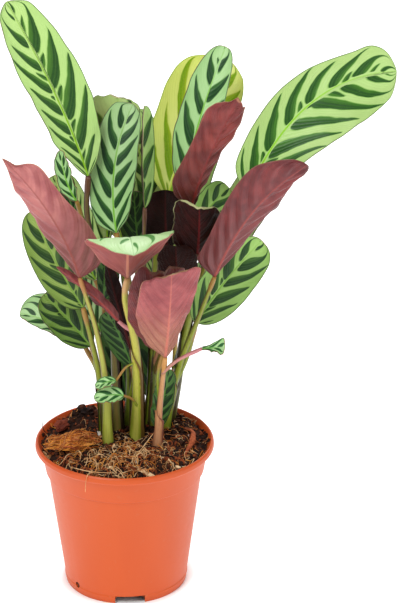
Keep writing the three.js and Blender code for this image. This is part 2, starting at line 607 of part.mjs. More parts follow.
function place(name, geometry, material) {
  const mesh = new THREE.Mesh(geometry, material);
  mesh.name = name;
  plant.add(mesh);
}

place("pot", makePot(), TERRACOTTA);
place("soil", makeSoil(), SOIL_BROWN);
BARK.forEach((piece) => place(piece.name, makeBark(piece), BARK_BROWN));
STEMS.forEach((stem) => place(stem.name, makeStem(stem), STEM_GREEN));
LEAVES.forEach((leaf) => place(leaf.name, makeBlade(leaf), LEAF_GREEN));

export default plant;
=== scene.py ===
"""A potted ctenanthe: patterned leaves on canes, bark soil and a terracotta-coloured nursery pot.

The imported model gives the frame. Every piece here is made in metres in the model's own coordinates: the
origin is the middle of the pot's base, +Z is up and -Y is the front of the plant. Values that are named or
noted as millimetres become metres where a mesh takes them.
"""

import logging
import math
import random
from dataclasses import dataclass
from enum import Enum

import bmesh
import bpy
from mathutils import Euler, Matrix, Vector, noise

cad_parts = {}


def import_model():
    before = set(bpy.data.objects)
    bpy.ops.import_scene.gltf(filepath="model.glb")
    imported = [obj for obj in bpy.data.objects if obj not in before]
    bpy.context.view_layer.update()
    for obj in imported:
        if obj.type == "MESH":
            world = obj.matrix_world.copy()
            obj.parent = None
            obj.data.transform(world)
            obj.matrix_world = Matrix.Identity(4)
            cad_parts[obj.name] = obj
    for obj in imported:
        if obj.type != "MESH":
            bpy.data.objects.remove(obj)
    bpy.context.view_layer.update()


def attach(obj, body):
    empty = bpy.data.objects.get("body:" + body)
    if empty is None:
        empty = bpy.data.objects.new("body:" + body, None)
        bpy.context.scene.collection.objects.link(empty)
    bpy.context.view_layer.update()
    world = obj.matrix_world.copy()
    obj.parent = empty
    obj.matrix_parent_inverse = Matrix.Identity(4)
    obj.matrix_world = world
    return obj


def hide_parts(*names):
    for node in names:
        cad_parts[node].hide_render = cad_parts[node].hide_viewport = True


LOG = logging.getLogger("ctenanthe")
MM = 0.001
TINY = 1e-6  # shorter lengths count as none
FRONT = Vector((0.0, -1.0, 0.0))
Colour = tuple[float, float, float, float]
Triple = tuple[float, float, float]
Socket = bpy.types.NodeSocket


# ---- shared tools --------------------


def srgb(red: float, green: float, blue: float) -> Colour:
    """A display colour, 0 to 255 a channel, as the linear colour that shaders take.

    Args:
        red: The red channel.
        green: The green channel.
        blue: The blue channel.

    Returns:
        The linear colour with full alpha.
    """

    def linear(value: float) -> float:
        """One channel made linear."""
        share = value / 255
        return share / 12.92 if share <= 0.04045 else ((share + 0.055) / 1.055) ** 2.4

    return linear(red), linear(green), linear(blue), 1.0


def mix(low: float, high: float, share: float) -> float:
    """The value a share of the way from low to high."""
    return low + (high - low) * share


def ease(value: float, start: float, end: float) -> float:
    """0 before start and 1 past end, with a smooth step between them."""
    share = min(max((value - start) / (end - start), 0.0), 1.0)
    return share * share * (3 - 2 * share)


class NodeSheet:
    """A material whose nodes are laid down one after another."""

    def __init__(self, name: str) -> None:
        """Starts an empty material.

        Args:
            name: The material's name.
        """
        self.material = bpy.data.materials.new(name)
        self.material.use_nodes = True
        self.tree = self.material.node_tree
        self.tree.nodes.clear()

    def node(self, kind: str, inputs: dict | None = None, **settings: object) -> bpy.types.Node:
        """Adds a node.

        Args:
            kind: The node's type, without its "ShaderNode" prefix.
            inputs: Values or sockets for its inputs, by name or place.
            **settings: The node's own properties.

        Returns:
            The new node.
        """
        made = self.tree.nodes.new("ShaderNode" + kind)
        for name, value in settings.items():
            setattr(made, name, value)
        for key, value in (inputs or {}).items():
            if isinstance(value, Socket):
                self.tree.links.new(value, made.inputs[key])
            else:
                made.inputs[key].default_value = value
        return made

    def math(self, operation: str, *values: object) -> Socket:
        """The result of a Math node on the values, which are numbers or sockets."""
        return self.node("Math", dict(enumerate(values)), operation=operation).outputs[0]

    def plus(self, one: object, other: object, weight: float = 1.0) -> Socket:
        """The sum of one value and another that is multiplied by a weight."""
        return self.math("MULTIPLY_ADD", other, weight, one)

    def minus(self, one: object, other: object) -> Socket:
        """What is left of one value when the other is taken off."""
        return self.math("SUBTRACT", one, other)

    def times(self, one: object, other: object) -> Socket:
        """The product of two values."""
        return self.math("MULTIPLY", one, other)

    def power(self, base: object, exponent: float) -> Socket:
        """A value raised to a power."""
        return self.math("POWER", base, exponent)

    def swell(self, place: object, turns: int) -> Socket:
        """A wave from 0 to 1 that comes round the given number of times for each whole step of place."""
        wave = self.math("SINE", self.times(place, 2 * math.pi * turns))
        return self.plus(0.5, wave, 0.5)

    def ease(self, value: object, start: object, end: object) -> Socket:
        """A smooth step of value from start to end, which may stand in falling order."""
        inputs = {"Value": value, "From Min": start, "From Max": end}
        return self.node("MapRange", inputs, interpolation_type="SMOOTHSTEP").outputs["Result"]

    def blend(self, share: object, low: object, high: object) -> Socket:
        """A colour between low and high."""
        return self.node("Mix", {0: share, 6: low, 7: high}, data_type="RGBA").outputs[2]

    def tint(self, ground: object, paint: object, share: object, most: float) -> Socket:
        """A ground colour with a thin paint over it.

        Args:
            ground: The colour below.
            paint: The colour above.
            share: Where the paint lies, 0 to 1.
            most: How much of the ground it covers where share is 1.

        Returns:
            The mixed colour.
        """
        return self.blend(self.times(share, most), ground, paint)

    def between(self, share: object, low: object, high: object) -> Socket:
        """A number between low and high."""
        return self.node("Mix", {0: share, 2: low, 3: high}, data_type="FLOAT").outputs[0]

    def parts(self, vector: object) -> tuple[Socket, ...]:
        """The three numbers of a vector."""
        return tuple(self.node("SeparateXYZ", {0: vector}).outputs)

    def attribute(self, name: str) -> Socket:
        """A vector attribute of the piece's mesh."""
        return self.node("Attribute", attribute_name=name).outputs["Vector"]

    def amount(self, name: str) -> Socket:
        """A number attribute of the piece's mesh."""
        return self.node("Attribute", attribute_name=name).outputs["Fac"]

    def place(self) -> Socket:
        """The Object coordinates, in metres."""
        return self.node("TexCoord").outputs["Object"]

    def stretched(self, scale: Triple) -> Socket:
        """The Object coordinates, scaled along each axis."""
        return self.node("Mapping", {"Vector": self.place(), "Scale": scale}).outputs[0]

    def grain(self, size: float, detail: float = 2.0, place: object = None) -> Socket:
        """Noise from 0 to 1 with features of about the given size in metres.

        Args:
            size: The size of one feature.
            detail: How many finer layers it has.
            place: The coordinates it reads, or None for Object coordinates.

        Returns:
            The noise's value.
        """
        inputs = {"Vector": place or self.place(), "Scale": 1 / size, "Detail": detail}
        return self.node("TexNoise", inputs).outputs["Fac"]

    def bump(self, height: object, depth: float) -> Socket:
        """A normal bent by a height from 0 to 1, where 1 stands for depth in metres."""
        return self.node("Bump", {"Height": height, "Strength": 1.0, "Distance": depth}).outputs[0]

    def coat(self, colour: object, rough: object, normal: object, shine: float,
             glow: float = 0.0) -> bpy.types.Material:
        """Ends the material with a surface.

        Args:
            colour: Its colour.
            rough: Its roughness.
            normal: Its bent normal.
            shine: Its specular level.
            glow: How much of the light comes through from behind.

        Returns:
            The material.
        """
        inputs = {"Base Color": colour, "Roughness": rough, "Normal": normal, "Specular IOR Level": shine}
        shader = self.node("BsdfPrincipled", inputs).outputs[0]
        if glow:
            through = self.node("BsdfTranslucent", {"Color": colour, "Normal": normal}).outputs[0]
            shader = self.node("MixShader", {0: glow, 1: shader, 2: through}).outputs[0]
        return self.finish(shader)

    def finish(self, shader: Socket) -> bpy.types.Material:
        """Joins the shader to the material's output and returns the material."""
        self.node("OutputMaterial", {"Surface": shader})
        return self.material


def hermite(start: object, leaving: object, end: object, arriving: object, part: float) -> object:
    """A point of the smooth curve between two ends.

    Args:
        start: The point or the value at 0.
        leaving: The curve's slope there.
        end: The point or the value at 1.
        arriving: The curve's slope there.
        part: How far along, from 0 to 1.

    Returns:
        The point or the value.
    """
    square, cube = part * part, part**3
    return (
        start * (2 * cube - 3 * square + 1)
        + leaving * (cube - 2 * square + part)
        + end * (3 * square - 2 * cube)
        + arriving * (cube - square)
    )


def path_length(points: list[Vector]) -> float:
    """The length of the straight steps from point to point."""
    return sum((after - before).length for before, after in zip(points, points[1:]))


def through_points(points: list[Vector], share: float) -> Vector:
    """A point on the centripetal Catmull-Rom curve through some points.

    Args:
        points: The points it passes, two or more.
        share: How far along, from 0 to 1.

    Returns:
        The point.
    """
    spans = len(points) - 1
    first = min(int(share * spans), spans - 1)
    part = share * spans - first
    p1, p2 = points[first], points[first + 1]
    p0 = points[first - 1] if first else p1 * 2 - p2
    p3 = points[first + 2] if first + 2 <= spans else p2 * 2 - p1
    d1, d2, d3 = (max((b - a).length, TINY) ** 0.5 for a, b in ((p0, p1), (p1, p2), (p2, p3)))
    leaving = ((p1 - p0) / d1 - (p2 - p0) / (d1 + d2) + (p2 - p1) / d2) * d2
    arriving = ((p2 - p1) / d2 - (p3 - p1) / (d2 + d3) + (p3 - p2) / d3) * d2
    return hermite(p1, leaving, p2, arriving, part)


def through_rows(rows: tuple[Triple, ...], share: float, column: int) -> float:
    """A value read from rows of numbers, with a smooth curve from row to row.

    Args:
        rows: Rows in rising order of their first number.
        share: Where to read, as a value of the first number.
        column: Which number of a row is read.

    Returns:
        The value.
    """
    last = len(rows) - 1
    at = next((i for i in range(last - 1, -1, -1) if rows[i][0] <= share), 0)

    def slope(index: int) -> float:
        """The curve's slope at a row."""
        before, after = rows[max(index - 1, 0)], rows[min(index + 1, last)]
        return (after[column] - before[column]) / (after[0] - before[0])

    span = rows[at + 1][0] - rows[at][0]
    part = min(max((share - rows[at][0]) / span, 0.0), 1.0)
    return hermite(rows[at][column], slope(at) * span, rows[at + 1][column], slope(at + 1) * span, part)


def finished(name: str, mesh_source: bmesh.types.BMesh, materials: list,
             smooth: bool = True) -> bpy.types.Object:
    """A bmesh as an object in the scene.

    Args:
        name: The object's name.
        mesh_source: The bmesh, which is freed.
        materials: The materials of its slots.
        smooth: Whether its faces are shaded smooth.

    Returns:
        The object, which sits at the origin.
    """
    mesh = bpy.data.meshes.new(name)
    for face in mesh_source.faces:
        face.smooth = smooth
    mesh_source.to_mesh(mesh)
    mesh_source.free()
    for material in materials:
        mesh.materials.append(material)
    made = bpy.data.objects.new(name, mesh)
    bpy.context.scene.collection.objects.link(made)
    return made


def applied(piece: bpy.types.Object) -> bpy.types.Mesh:
    """Applies a piece's modifiers.

    Args:
        piece: The piece.

    Returns:
        Its new mesh.
    """
    bpy.context.view_layer.update()
    mesh = bpy.data.meshes.new_from_object(piece.evaluated_get(bpy.context.evaluated_depsgraph_get()))
    piece.modifiers.clear()
    piece.data = mesh
    return mesh


def settle(piece: bpy.types.Object, slot: str, *nodes: str) -> bpy.types.Object:
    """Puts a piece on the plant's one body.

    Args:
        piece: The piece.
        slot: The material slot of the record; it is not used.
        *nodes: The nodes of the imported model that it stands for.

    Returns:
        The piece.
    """
    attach(piece, "root")
    if nodes:
        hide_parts(*nodes)
    LOG.info("%s: %d faces", piece.name, len(piece.data.polygons))
    return piece


# ---- finishes ------------------------


BLOTCH = srgb(48, 96, 34)
BLOTCH_DEEP = srgb(26, 60, 20)
DRY = srgb(216, 214, 160)
FRAY = 0.003  # the size in metres of the noise that frays a dry edge


def blade_fields(sheet: NodeSheet) -> tuple:
    """What a blade's own data say of a point.

    Args:
        sheet: The material's node sheet.

    Returns:
        The distances from the midrib and from the margin in millimetres, the vein coordinate, and the shares
        across from the left margin to the right one and along from base to tip.
    """
    lateral, margin, veins = sheet.parts(sheet.attribute("blade"))
    across, along, _ = sheet.parts(sheet.node("UVMap", uv_map="blade_uv").outputs[0])
    return sheet.math("ABSOLUTE", lateral), margin, veins, across, along


def worn_share(sheet: NodeSheet) -> Socket:
    """How dry a point of a blade is: its wear with a frayed edge."""
    return sheet.plus(sheet.amount("wear"), sheet.grain(FRAY, 3.0), 0.7)


@dataclass(frozen=True)
class UpperFinish:
    """The patterned upper side of a blade: a pale ground with dark blotches along its veins."""

    name: str
    inner: Colour  # the ground beside the midrib
    outer: Colour  # the ground near the margin
    blotch: Colour
    blotch_deep: Colour
    halo: Colour  # the green between a blotch and the ground
    rib: Colour
    fill: float = 0.27  # half the width of a long blotch, as a share of the space from one to the next
    short_fill: float = 0.13
    short_share: float = 0.4  # how many of the gaps between long blotches hold a short one
    reach: tuple[float, float] = (0.78, 1.0)  # how far out the shortest and the longest long blotch reach
    glow: float = 0.0  # how much light comes through the blade

    SHORT_REACH = (0.2, 0.5)
    SIDE_SHIFT = 0.37  # how far the right half's row is shifted along the midrib, in spaces of a blotch
    FINE_VEINS = 6  # fine veins in the space of one blotch
    SHINE = 0.32
    DRIFT = 0.011  # the sizes of the noises, in metres
    MOTTLE = 0.009
    SHEEN = 0.006
    SPECK = 0.0012

    def blotches(self, sheet: NodeSheet, veins: object, reach: object, side: object, shift: float,
                 size: object, span: tuple[float, float]) -> tuple:
        """One row of blotches along the veins.

        Args:
            sheet: The material's node sheet.
            veins: The vein coordinate.
            reach: How far out from midrib to margin, 0 to 1.
            side: 0 on the left half and 1 on the right.
            shift: How far the row is shifted along the midrib, in spaces of a blotch.
            size: Half the width of a blotch, which may change over the blade.
            span: How far out the shortest and the longest blotch reach.

        Returns:
            How deep inside a blotch a point is, and three random numbers of that blotch.
        """
        vein = sheet.plus(veins, shift)
        seed = sheet.node("CombineXYZ", {0: sheet.math("FLOOR", vein), 1: side, 2: shift})
        chance = sheet.parts(sheet.node("TexWhiteNoise", {"Vector": seed.outputs[0]}).outputs["Color"])
        aside = sheet.math("ABSOLUTE", sheet.minus(sheet.math("FRACT", vein), 0.5))
        start = sheet.between(chance[2], 0.02, 0.07)
        end = sheet.between(chance[0], span[0], span[1])
        along = sheet.node("MapRange", {"Value": reach, "From Min": start, "From Max": end}).outputs["Result"]
        lens = sheet.times(sheet.power(along, 0.24), sheet.power(sheet.minus(1.0, along), 0.7))
        lens = sheet.times(lens, 1.7)
        width = sheet.times(sheet.times(lens, size), sheet.between(chance[1], 0.8, 1.15))
        spent = sheet.times(sheet.ease(lens, 0.1, 0.0), 0.12)
        return sheet.minus(sheet.minus(width, aside), spent), chance

    def material(self) -> bpy.types.Material:
        """Builds the material, which reads the blade's UV map and its attributes.

        Returns:
            The material.
        """
        sheet = NodeSheet(self.name)
        middle, margin, veins, across, along = blade_fields(sheet)
        drift = sheet.minus(sheet.grain(self.DRIFT, 1.0), 0.5)
        reach = sheet.math("ABSOLUTE", sheet.times(sheet.minus(across, 0.5), 2.0))
        reach = sheet.plus(reach, drift, 0.1)
        side = sheet.math("GREATER_THAN", across, 0.5)
        bent = sheet.plus(sheet.plus(veins, drift, 0.22), side, self.SIDE_SHIFT)
        to_tip = sheet.between(sheet.ease(along, 0.8, 0.98), 1.0, 0.25)
        size = sheet.times(to_tip, self.fill)
        long_depth, _ = self.blotches(sheet, bent, reach, side, 0.0, size, self.reach)
        size = sheet.times(to_tip, self.short_fill)
        short_depth, chance = self.blotches(sheet, bent, reach, side, 0.5, size, self.SHORT_REACH)
        wanted = sheet.math("LESS_THAN", chance[0], self.short_share)
        depth = sheet.math("MAXIMUM", long_depth, sheet.between(wanted, -1.0, short_depth))

        fine = sheet.swell(veins, self.FINE_VEINS)
        speck = sheet.grain(self.SPECK, 3.0)
        ground = sheet.blend(sheet.ease(reach, 0.05, 0.95), self.inner, self.outer)
        ground = sheet.tint(ground, self.halo, sheet.grain(self.MOTTLE), 0.16)
        ground = sheet.tint(ground, self.halo, sheet.power(fine, 5.0), 0.04)
        front = sheet.minus(sheet.math("FRACT", bent), 0.5)
        dark = sheet.tint(self.blotch_deep, self.blotch, speck, 0.9)
        dark = sheet.tint(dark, self.halo, sheet.power(fine, 4.0), 0.14)
        dark = sheet.tint(dark, self.halo, sheet.ease(front, 0.0, 0.22), 0.35)
        colour = sheet.tint(ground, self.halo, sheet.ease(depth, -0.07, 0.0), 0.6)
        colour = sheet.blend(sheet.ease(depth, -0.022, 0.028), colour, dark)
        rib = sheet.ease(middle, sheet.between(along, 0.95, 0.5), 0.25)
        rib = sheet.times(rib, sheet.between(sheet.ease(along, 0.35, 1.0), 1.0, 0.3))
        colour = sheet.blend(rib, colour, self.rib)
        colour = sheet.tint(colour, self.blotch, sheet.ease(margin, 0.75, 0.3), 0.8)
        colour = sheet.blend(sheet.ease(worn_share(sheet), 0.5, 0.8), colour, DRY)

        height = sheet.plus(sheet.times(speck, 0.4), sheet.power(fine, 2.0), 0.6)
        rough = sheet.between(sheet.grain(self.SHEEN, 3.0), 0.3, 0.46)
        return sheet.coat(colour, rough, sheet.bump(height, 0.00016), self.SHINE, self.glow)


@dataclass(frozen=True)
class UnderFinish:
    """The plain purple underside of a blade, with raised veins."""

    name: str
    flesh: Colour
    deep: Colour
    rib: Colour
    tip: Colour  # the dry end of the blade
    foot: Colour  # the flesh near the petiole, which in DUSK is painted shade
    shine: float = 0.42
    glow: float = 0.0

    RAISED_VEINS = 3  # raised veins in the space of one blotch of the upper side
    HAIR_VEINS = 15
    DRIFT = 0.02  # the sizes of the noises, in metres
    CLOUD = 0.012
    SPECK = 0.0011

    def material(self) -> bpy.types.Material:
        """Builds the material, which reads the blade's UV map and its attributes.

        Returns:
            The material.
        """
        sheet = NodeSheet(self.name)
        middle, margin, veins, _, along = blade_fields(sheet)
        line = sheet.power(sheet.swell(veins, self.RAISED_VEINS), 2.0)
        hair = sheet.swell(veins, self.HAIR_VEINS)
        cloud = sheet.grain(self.CLOUD, 3.0)
        speck = sheet.grain(self.SPECK, 3.0)
        drift = sheet.plus(veins, sheet.grain(self.DRIFT, 1.0), 1.3)
        colour = sheet.blend(sheet.ease(cloud, 0.3, 0.7), self.flesh, self.deep)
        colour = sheet.tint(colour, self.foot, sheet.ease(along, 0.7, 0.05), 0.85)
        # Darker bands, one for each blotch of the upper side: partly the blotches showing through and partly
        # painted shade in the swells between the veins.
        colour = sheet.tint(colour, self.deep, sheet.ease(sheet.swell(drift, 1), 0.2, 1.0), 0.36)
        colour = sheet.tint(colour, self.rib, line, 0.08)
        colour = sheet.tint(colour, self.deep, hair, 0.04)
        colour = sheet.tint(colour, self.deep, speck, 0.18)
        rib = sheet.ease(middle, sheet.between(along, 1.3, 0.5), sheet.between(along, 0.5, 0.15))
        colour = sheet.blend(sheet.times(rib, sheet.between(along, 0.9, 0.45)), colour, self.rib)
        pale = sheet.between(sheet.ease(along, 0.5, 0.85), 0.2, 0.7)
        colour = sheet.blend(sheet.times(sheet.ease(margin, 0.8, 0.25), pale), colour, self.tip)
        colour = sheet.blend(sheet.ease(worn_share(sheet), 0.6, 0.95), colour, self.tip)
        height = sheet.plus(sheet.plus(sheet.times(hair, 0.25), line, 0.7), speck, 0.3)
        rough = sheet.between(cloud, 0.3, 0.46)
        return sheet.coat(colour, rough, sheet.bump(height, 0.0002), self.shine, self.glow)


class Upper(Enum):
    """The ways that a blade's upper side is coloured."""

    LIME = UpperFinish("leaf_lime", srgb(194, 228, 138), srgb(186, 221, 134), BLOTCH, BLOTCH_DEEP,
                       srgb(104, 162, 52), srgb(148, 202, 34), fill=0.31, short_share=0.4)
    BANDED = UpperFinish("leaf_banded", srgb(188, 222, 138), srgb(184, 214, 132), srgb(44, 98, 26),
                         srgb(26, 66, 18), srgb(92, 158, 44), srgb(146, 210, 36), fill=0.33, short_share=0.5)
    MINT = UpperFinish("leaf_mint", srgb(188, 226, 162), srgb(170, 212, 142), srgb(36, 84, 40),
                       srgb(16, 50, 22), srgb(84, 146, 60), srgb(128, 194, 60), fill=0.3, short_share=0.12)
    PLAIN = UpperFinish("leaf_plain", srgb(214, 242, 190), srgb(196, 230, 166), srgb(92, 156, 74),
                        srgb(60, 124, 52), srgb(156, 208, 122), srgb(116, 176, 74), fill=0.13,
                        short_share=0.1, reach=(0.3, 0.9))
    BACKLIT = UpperFinish("leaf_backlit", srgb(242, 253, 152), srgb(234, 250, 128), srgb(150, 194, 16),
                          srgb(108, 156, 6), srgb(196, 218, 58), srgb(226, 242, 90), glow=0.12, fill=0.34)
    FERN = UpperFinish("leaf_fern", srgb(170, 210, 116), srgb(154, 196, 102), srgb(36, 80, 28),
                       srgb(16, 48, 14), srgb(86, 136, 50), srgb(128, 180, 66), fill=0.35)
    # Painted shade: the leaf colours darkened for a blade in part shade, less dark than SHADED.
    OLIVE = UpperFinish("leaf_olive_shade", srgb(146, 170, 84), srgb(120, 148, 64), srgb(38, 72, 24),
                        srgb(18, 46, 12), srgb(84, 120, 38), srgb(116, 154, 54), fill=0.38)
    # Painted shade: the leaf colours darkened for blades deep in the foliage.
    DEEP_SHADE = UpperFinish("leaf_deep_shade", srgb(84, 126, 60), srgb(70, 108, 46), srgb(26, 58, 24),
                       srgb(14, 38, 16), srgb(50, 88, 34), srgb(84, 132, 50), fill=0.36)
    SHADED = UpperFinish("leaf_shaded", srgb(120, 152, 64), srgb(96, 130, 48), srgb(28, 60, 20),
                         srgb(12, 34, 12), srgb(70, 108, 34), srgb(108, 150, 52), fill=0.38)
    YOUNG = UpperFinish("leaf_young", srgb(198, 236, 174), srgb(166, 218, 136), srgb(46, 106, 52),
                        srgb(26, 76, 36), srgb(96, 162, 80), srgb(120, 184, 90), fill=0.3, short_share=0.0)


class Under(Enum):
    """The ways that a blade's underside is coloured."""

    PINK = UnderFinish("underside_pink", srgb(186, 95, 96), srgb(146, 64, 70), srgb(206, 114, 96),
                       srgb(178, 130, 96), srgb(186, 134, 104))
    CORAL = UnderFinish("underside_coral", srgb(178, 92, 94), srgb(136, 62, 68), srgb(218, 142, 118),
                        srgb(206, 164, 124), srgb(164, 88, 82))
    # Its dark foot is painted shade at the blade's base, near the petiole.
    DUSK = UnderFinish("underside_dusk", srgb(200, 122, 116), srgb(160, 80, 84), srgb(138, 54, 42),
                       srgb(200, 146, 114), srgb(88, 44, 26))
    ROSE = UnderFinish("underside_rose", srgb(140, 52, 52), srgb(92, 28, 32), srgb(156, 50, 40),
                       srgb(128, 80, 62), srgb(118, 58, 58))
    BURGUNDY = UnderFinish("underside_burgundy", srgb(158, 66, 62), srgb(106, 36, 37), srgb(136, 36, 36),
                           srgb(176, 118, 90), srgb(84, 30, 28))
    # Painted shade: a near-black copy of the purple underside for blades in shade. Its cream tip is the dry
    # edge's own colour.
    MAROON = UnderFinish("underside_maroon_shade", srgb(60, 16, 14), srgb(30, 8, 8), srgb(110, 18, 22),
                         srgb(206, 206, 150), srgb(34, 10, 10), shine=0.14)
    SHADE = UnderFinish("underside_shade", srgb(44, 15, 12), srgb(24, 8, 7), srgb(72, 18, 18),
                        srgb(70, 34, 24), srgb(26, 9, 8), shine=0.12)
    # Painted light: a yellow-green underside for backlit blades, standing in for light coming through them;
    # its glow adds translucency as well.
    BACKLIT_UNDER = UnderFinish("underside_backlit", srgb(176, 192, 100), srgb(150, 162, 80), srgb(190, 208, 98),
                       srgb(186, 196, 140), srgb(160, 178, 84), glow=0.2)


# ---- leaf blades ---------------------


@dataclass(frozen=True)
class Blade:
    """One leaf blade. Lengths are in millimetres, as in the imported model.

    base, middle and tip are points on the midrib, facing is the way the upper side looks, left and right are
    the half widths seen from the upper side, square is how blunt each side's end is, cup is half the arc of
    the cross-section in degrees at the base and at the tip, and widest is where the blade is broadest.
    margins, where it is given, holds shares of the length with the left and the right half width there, and
    takes the place of square, widest and the outline's half widths. pairs is how many long blotches there are
    along the left and the right half. ruffle is how wavy the margins are, ripple the height of the swells
    between the veins, crisp the depth of the dry, ragged edge at the tip and skew how far the right corner of
    the tip stands before the left one. seed gives the blade its own blotches and waves.
    """

    name: str
    base: Triple
    middle: Triple
    tip: Triple
    facing: Triple
    left: float
    right: float
    square: tuple[float, float] = (2.4, 2.4)
    cup: tuple[float, float] = (25.0, 15.0)
    upper: Upper = Upper.LIME
    under: Under = Under.BURGUNDY
    widest: float = 0.46
    margins: tuple[Triple, ...] = ()
    pairs: tuple[float, float] = (7.0, 7.0)
    ruffle: float = 1.0
    ripple: float = 0.2
    crisp: float = 0.0
    skew: float = 0.0
    seed: int = 0

    ACROSS = 30
    ALONG = 110
    THICKNESS = 0.36
    BASE_HALF_WIDTH = 1.3
    TIP_HALF_WIDTH = 0.35
    BASE_ROUND = 0.1  # the shares of the length over which margins are rounded off
    TIP_ROUND = 0.05
    CROWDING = 0.6  # how much closer together the grid's rows lie at both ends
    VEIN_LEAN = 0.8  # how far a vein runs ahead on its way out, in half widths
    VEIN_BEND = 0.95  # how much its bend adds to that at the margin
    RAISED_VEIN = 0.1
    GROOVE_DEPTH = 0.45
    GROOVE_WIDTH = 1.3
    SEED_STEP = 40  # how far apart the vein coordinates of two seeds are

    def midrib(self, share: float) -> Vector:
        """A point of the midrib.

        Args:
            share: How far from base to tip, 0 to 1.

        Returns:
            The point in millimetres.
        """
        base, middle, tip = (Vector(point) for point in (self.base, self.middle, self.tip))
        return (
            base * ((1 - share) * (1 - 2 * share))
            + middle * (4 * share * (1 - share))
            + tip * (share * (2 * share - 1))
        )

    def direction(self, share: float) -> Vector:
        """The way the midrib runs at a share of its length."""
        base, middle, tip = (Vector(point) for point in (self.base, self.middle, self.tip))
        return (base * (4 * share - 3) + middle * (4 - 8 * share) + tip * (4 * share - 1)).normalized()

    def length(self) -> float:
        """The length of the midrib."""
        steps = 24
        return path_length([self.midrib(i / steps) for i in range(steps + 1)])

    def outline(self, share: float, side: int) -> float:
        """The half width before the least width is applied.

        Args:
            share: How far from base to tip, 0 to 1.
            side: 0 for the left half and 1 for the right.

        Returns:
            The distance from midrib to margin in millimetres.
        """
        if self.margins:
            base_end = (1 - max(0.0, 1 - share / self.BASE_ROUND) ** 2) ** 0.5
            tip_end = (1 - max(0.0, 1 - (1 - share) / self.TIP_ROUND) ** 2) ** 0.5
            return through_rows(self.margins, share, side + 1) * (base_end * tip_end)
        if share < self.widest:
            part = (1 - (1 - share / self.widest) ** 2) ** 0.5
        else:
            square = self.square[side]
            part = max(0.0, 1 - ((share - self.widest) / (1 - self.widest)) ** square) ** (1 / square)
        return (self.left, self.right)[side] * part

    def half_width(self, share: float, across: float) -> float:
        """The distance from midrib to margin on the side that across lies on."""
        least = mix(self.BASE_HALF_WIDTH, self.TIP_HALF_WIDTH, share)
        return max(self.outline(share, int(across > 0)), least)

    def spread(self, share: float, across: float) -> float:
        """How far to the side a point lies, as a share of the blade's greatest half width."""
        return across * self.half_width(share, across) / max(self.left, self.right)

    def veins(self, share: float, across: float, length: float) -> float:
        """The vein coordinate of a point.

        Args:
            share: How far from base to tip, 0 to 1.
            across: From the left margin, -1, to the right margin, 1.
            length: The midrib's length.

        Returns:
            How many long blotches lie between the base and the point's vein.
        """
        side, reach = int(across > 0), abs(across)
        slope = (self.left, self.right)[side] / length
        ahead = slope * (self.VEIN_LEAN * reach + self.VEIN_BEND * reach * reach)
        return (share - ahead) * self.pairs[side]

    def relief(self, share: float, across: float, veins: float) -> float:
        """How far the blade stands off its smooth sheet, towards the upper side.

        Args:
            share: How far from base to tip, 0 to 1.
            across: From the left margin, -1, to the right margin, 1.
            veins: The vein coordinate.

        Returns:
            The height in millimetres.
        """
        reach = abs(across)
        width = self.half_width(share, across)
        from_tip = ease(1 - share, 0.0, 0.1)
        fade = ease(reach, 0.06, 0.3) * ease(1 - reach, 0.0, 0.25) * ease(share, 0.0, 0.1) * from_tip
        raised = self.RAISED_VEIN * math.sin(2 * math.pi * UnderFinish.RAISED_VEINS * veins)
        quilt = (raised + self.ripple * math.sin(2 * math.pi * veins)) * fade
        dip = math.exp(-((reach * width / self.GROOVE_WIDTH) ** 2))
        groove = -self.GROOVE_DEPTH * dip * ease(share, 0.0, 0.04) * from_tip
        turn = 2 * math.pi * share
        side = 1.7 if across > 0 else 0.0
        wave = math.sin(2.3 * turn + self.seed + side) + 0.6 * math.sin(5.1 * turn + 2.1 * self.seed + side)
        frill = math.sin(9.0 * turn + 1.3 * self.seed + 2 * side)
        edge = ease(share, 0.02, 0.2) * ease(1 - share, 0.0, 0.12)
        margin = self.ruffle * edge * (0.55 * wave * reach**2.5 + 0.13 * frill * reach**6)
        curled = math.sin(8 * self.spread(share, across) + self.seed)
        curl = 0.35 * self.crisp * curled * ease(share, 0.9, 1.0)
        return quilt + groove + margin + curl

    def surface(self, share: float, across: float, length: float) -> Vector:
        """A point of the blade's middle sheet.

        Args:
            share: How far from base to tip, 0 to 1.
            across: From the left margin, -1, to the right margin, 1.
            length: The midrib's length.

        Returns:
            The point in millimetres.
        """
        along = self.direction(share)
        facing = Vector(self.facing)
        normal = (facing - along * facing.dot(along)).normalized()
        side = along.cross(normal)
        bend = math.radians(mix(self.cup[0], self.cup[1], share)) or 1e-4
        radius = self.half_width(share, across) / bend
        lift = self.relief(share, across, self.veins(share, across, length))
        angle = bend * across
        spread = self.spread(share, across)
        ragged = self.crisp * noise.noise(Vector((5 * spread, self.seed, 0.5))) * ease(share, 0.8, 1.0)
        ragged += self.skew * spread * ease(share, 0.5, 1.0)
        return (
            self.midrib(share)
            + along * ragged
            + side * ((radius - lift) * math.sin(angle))
            + normal * (radius - (radius - lift) * math.cos(angle))
        )

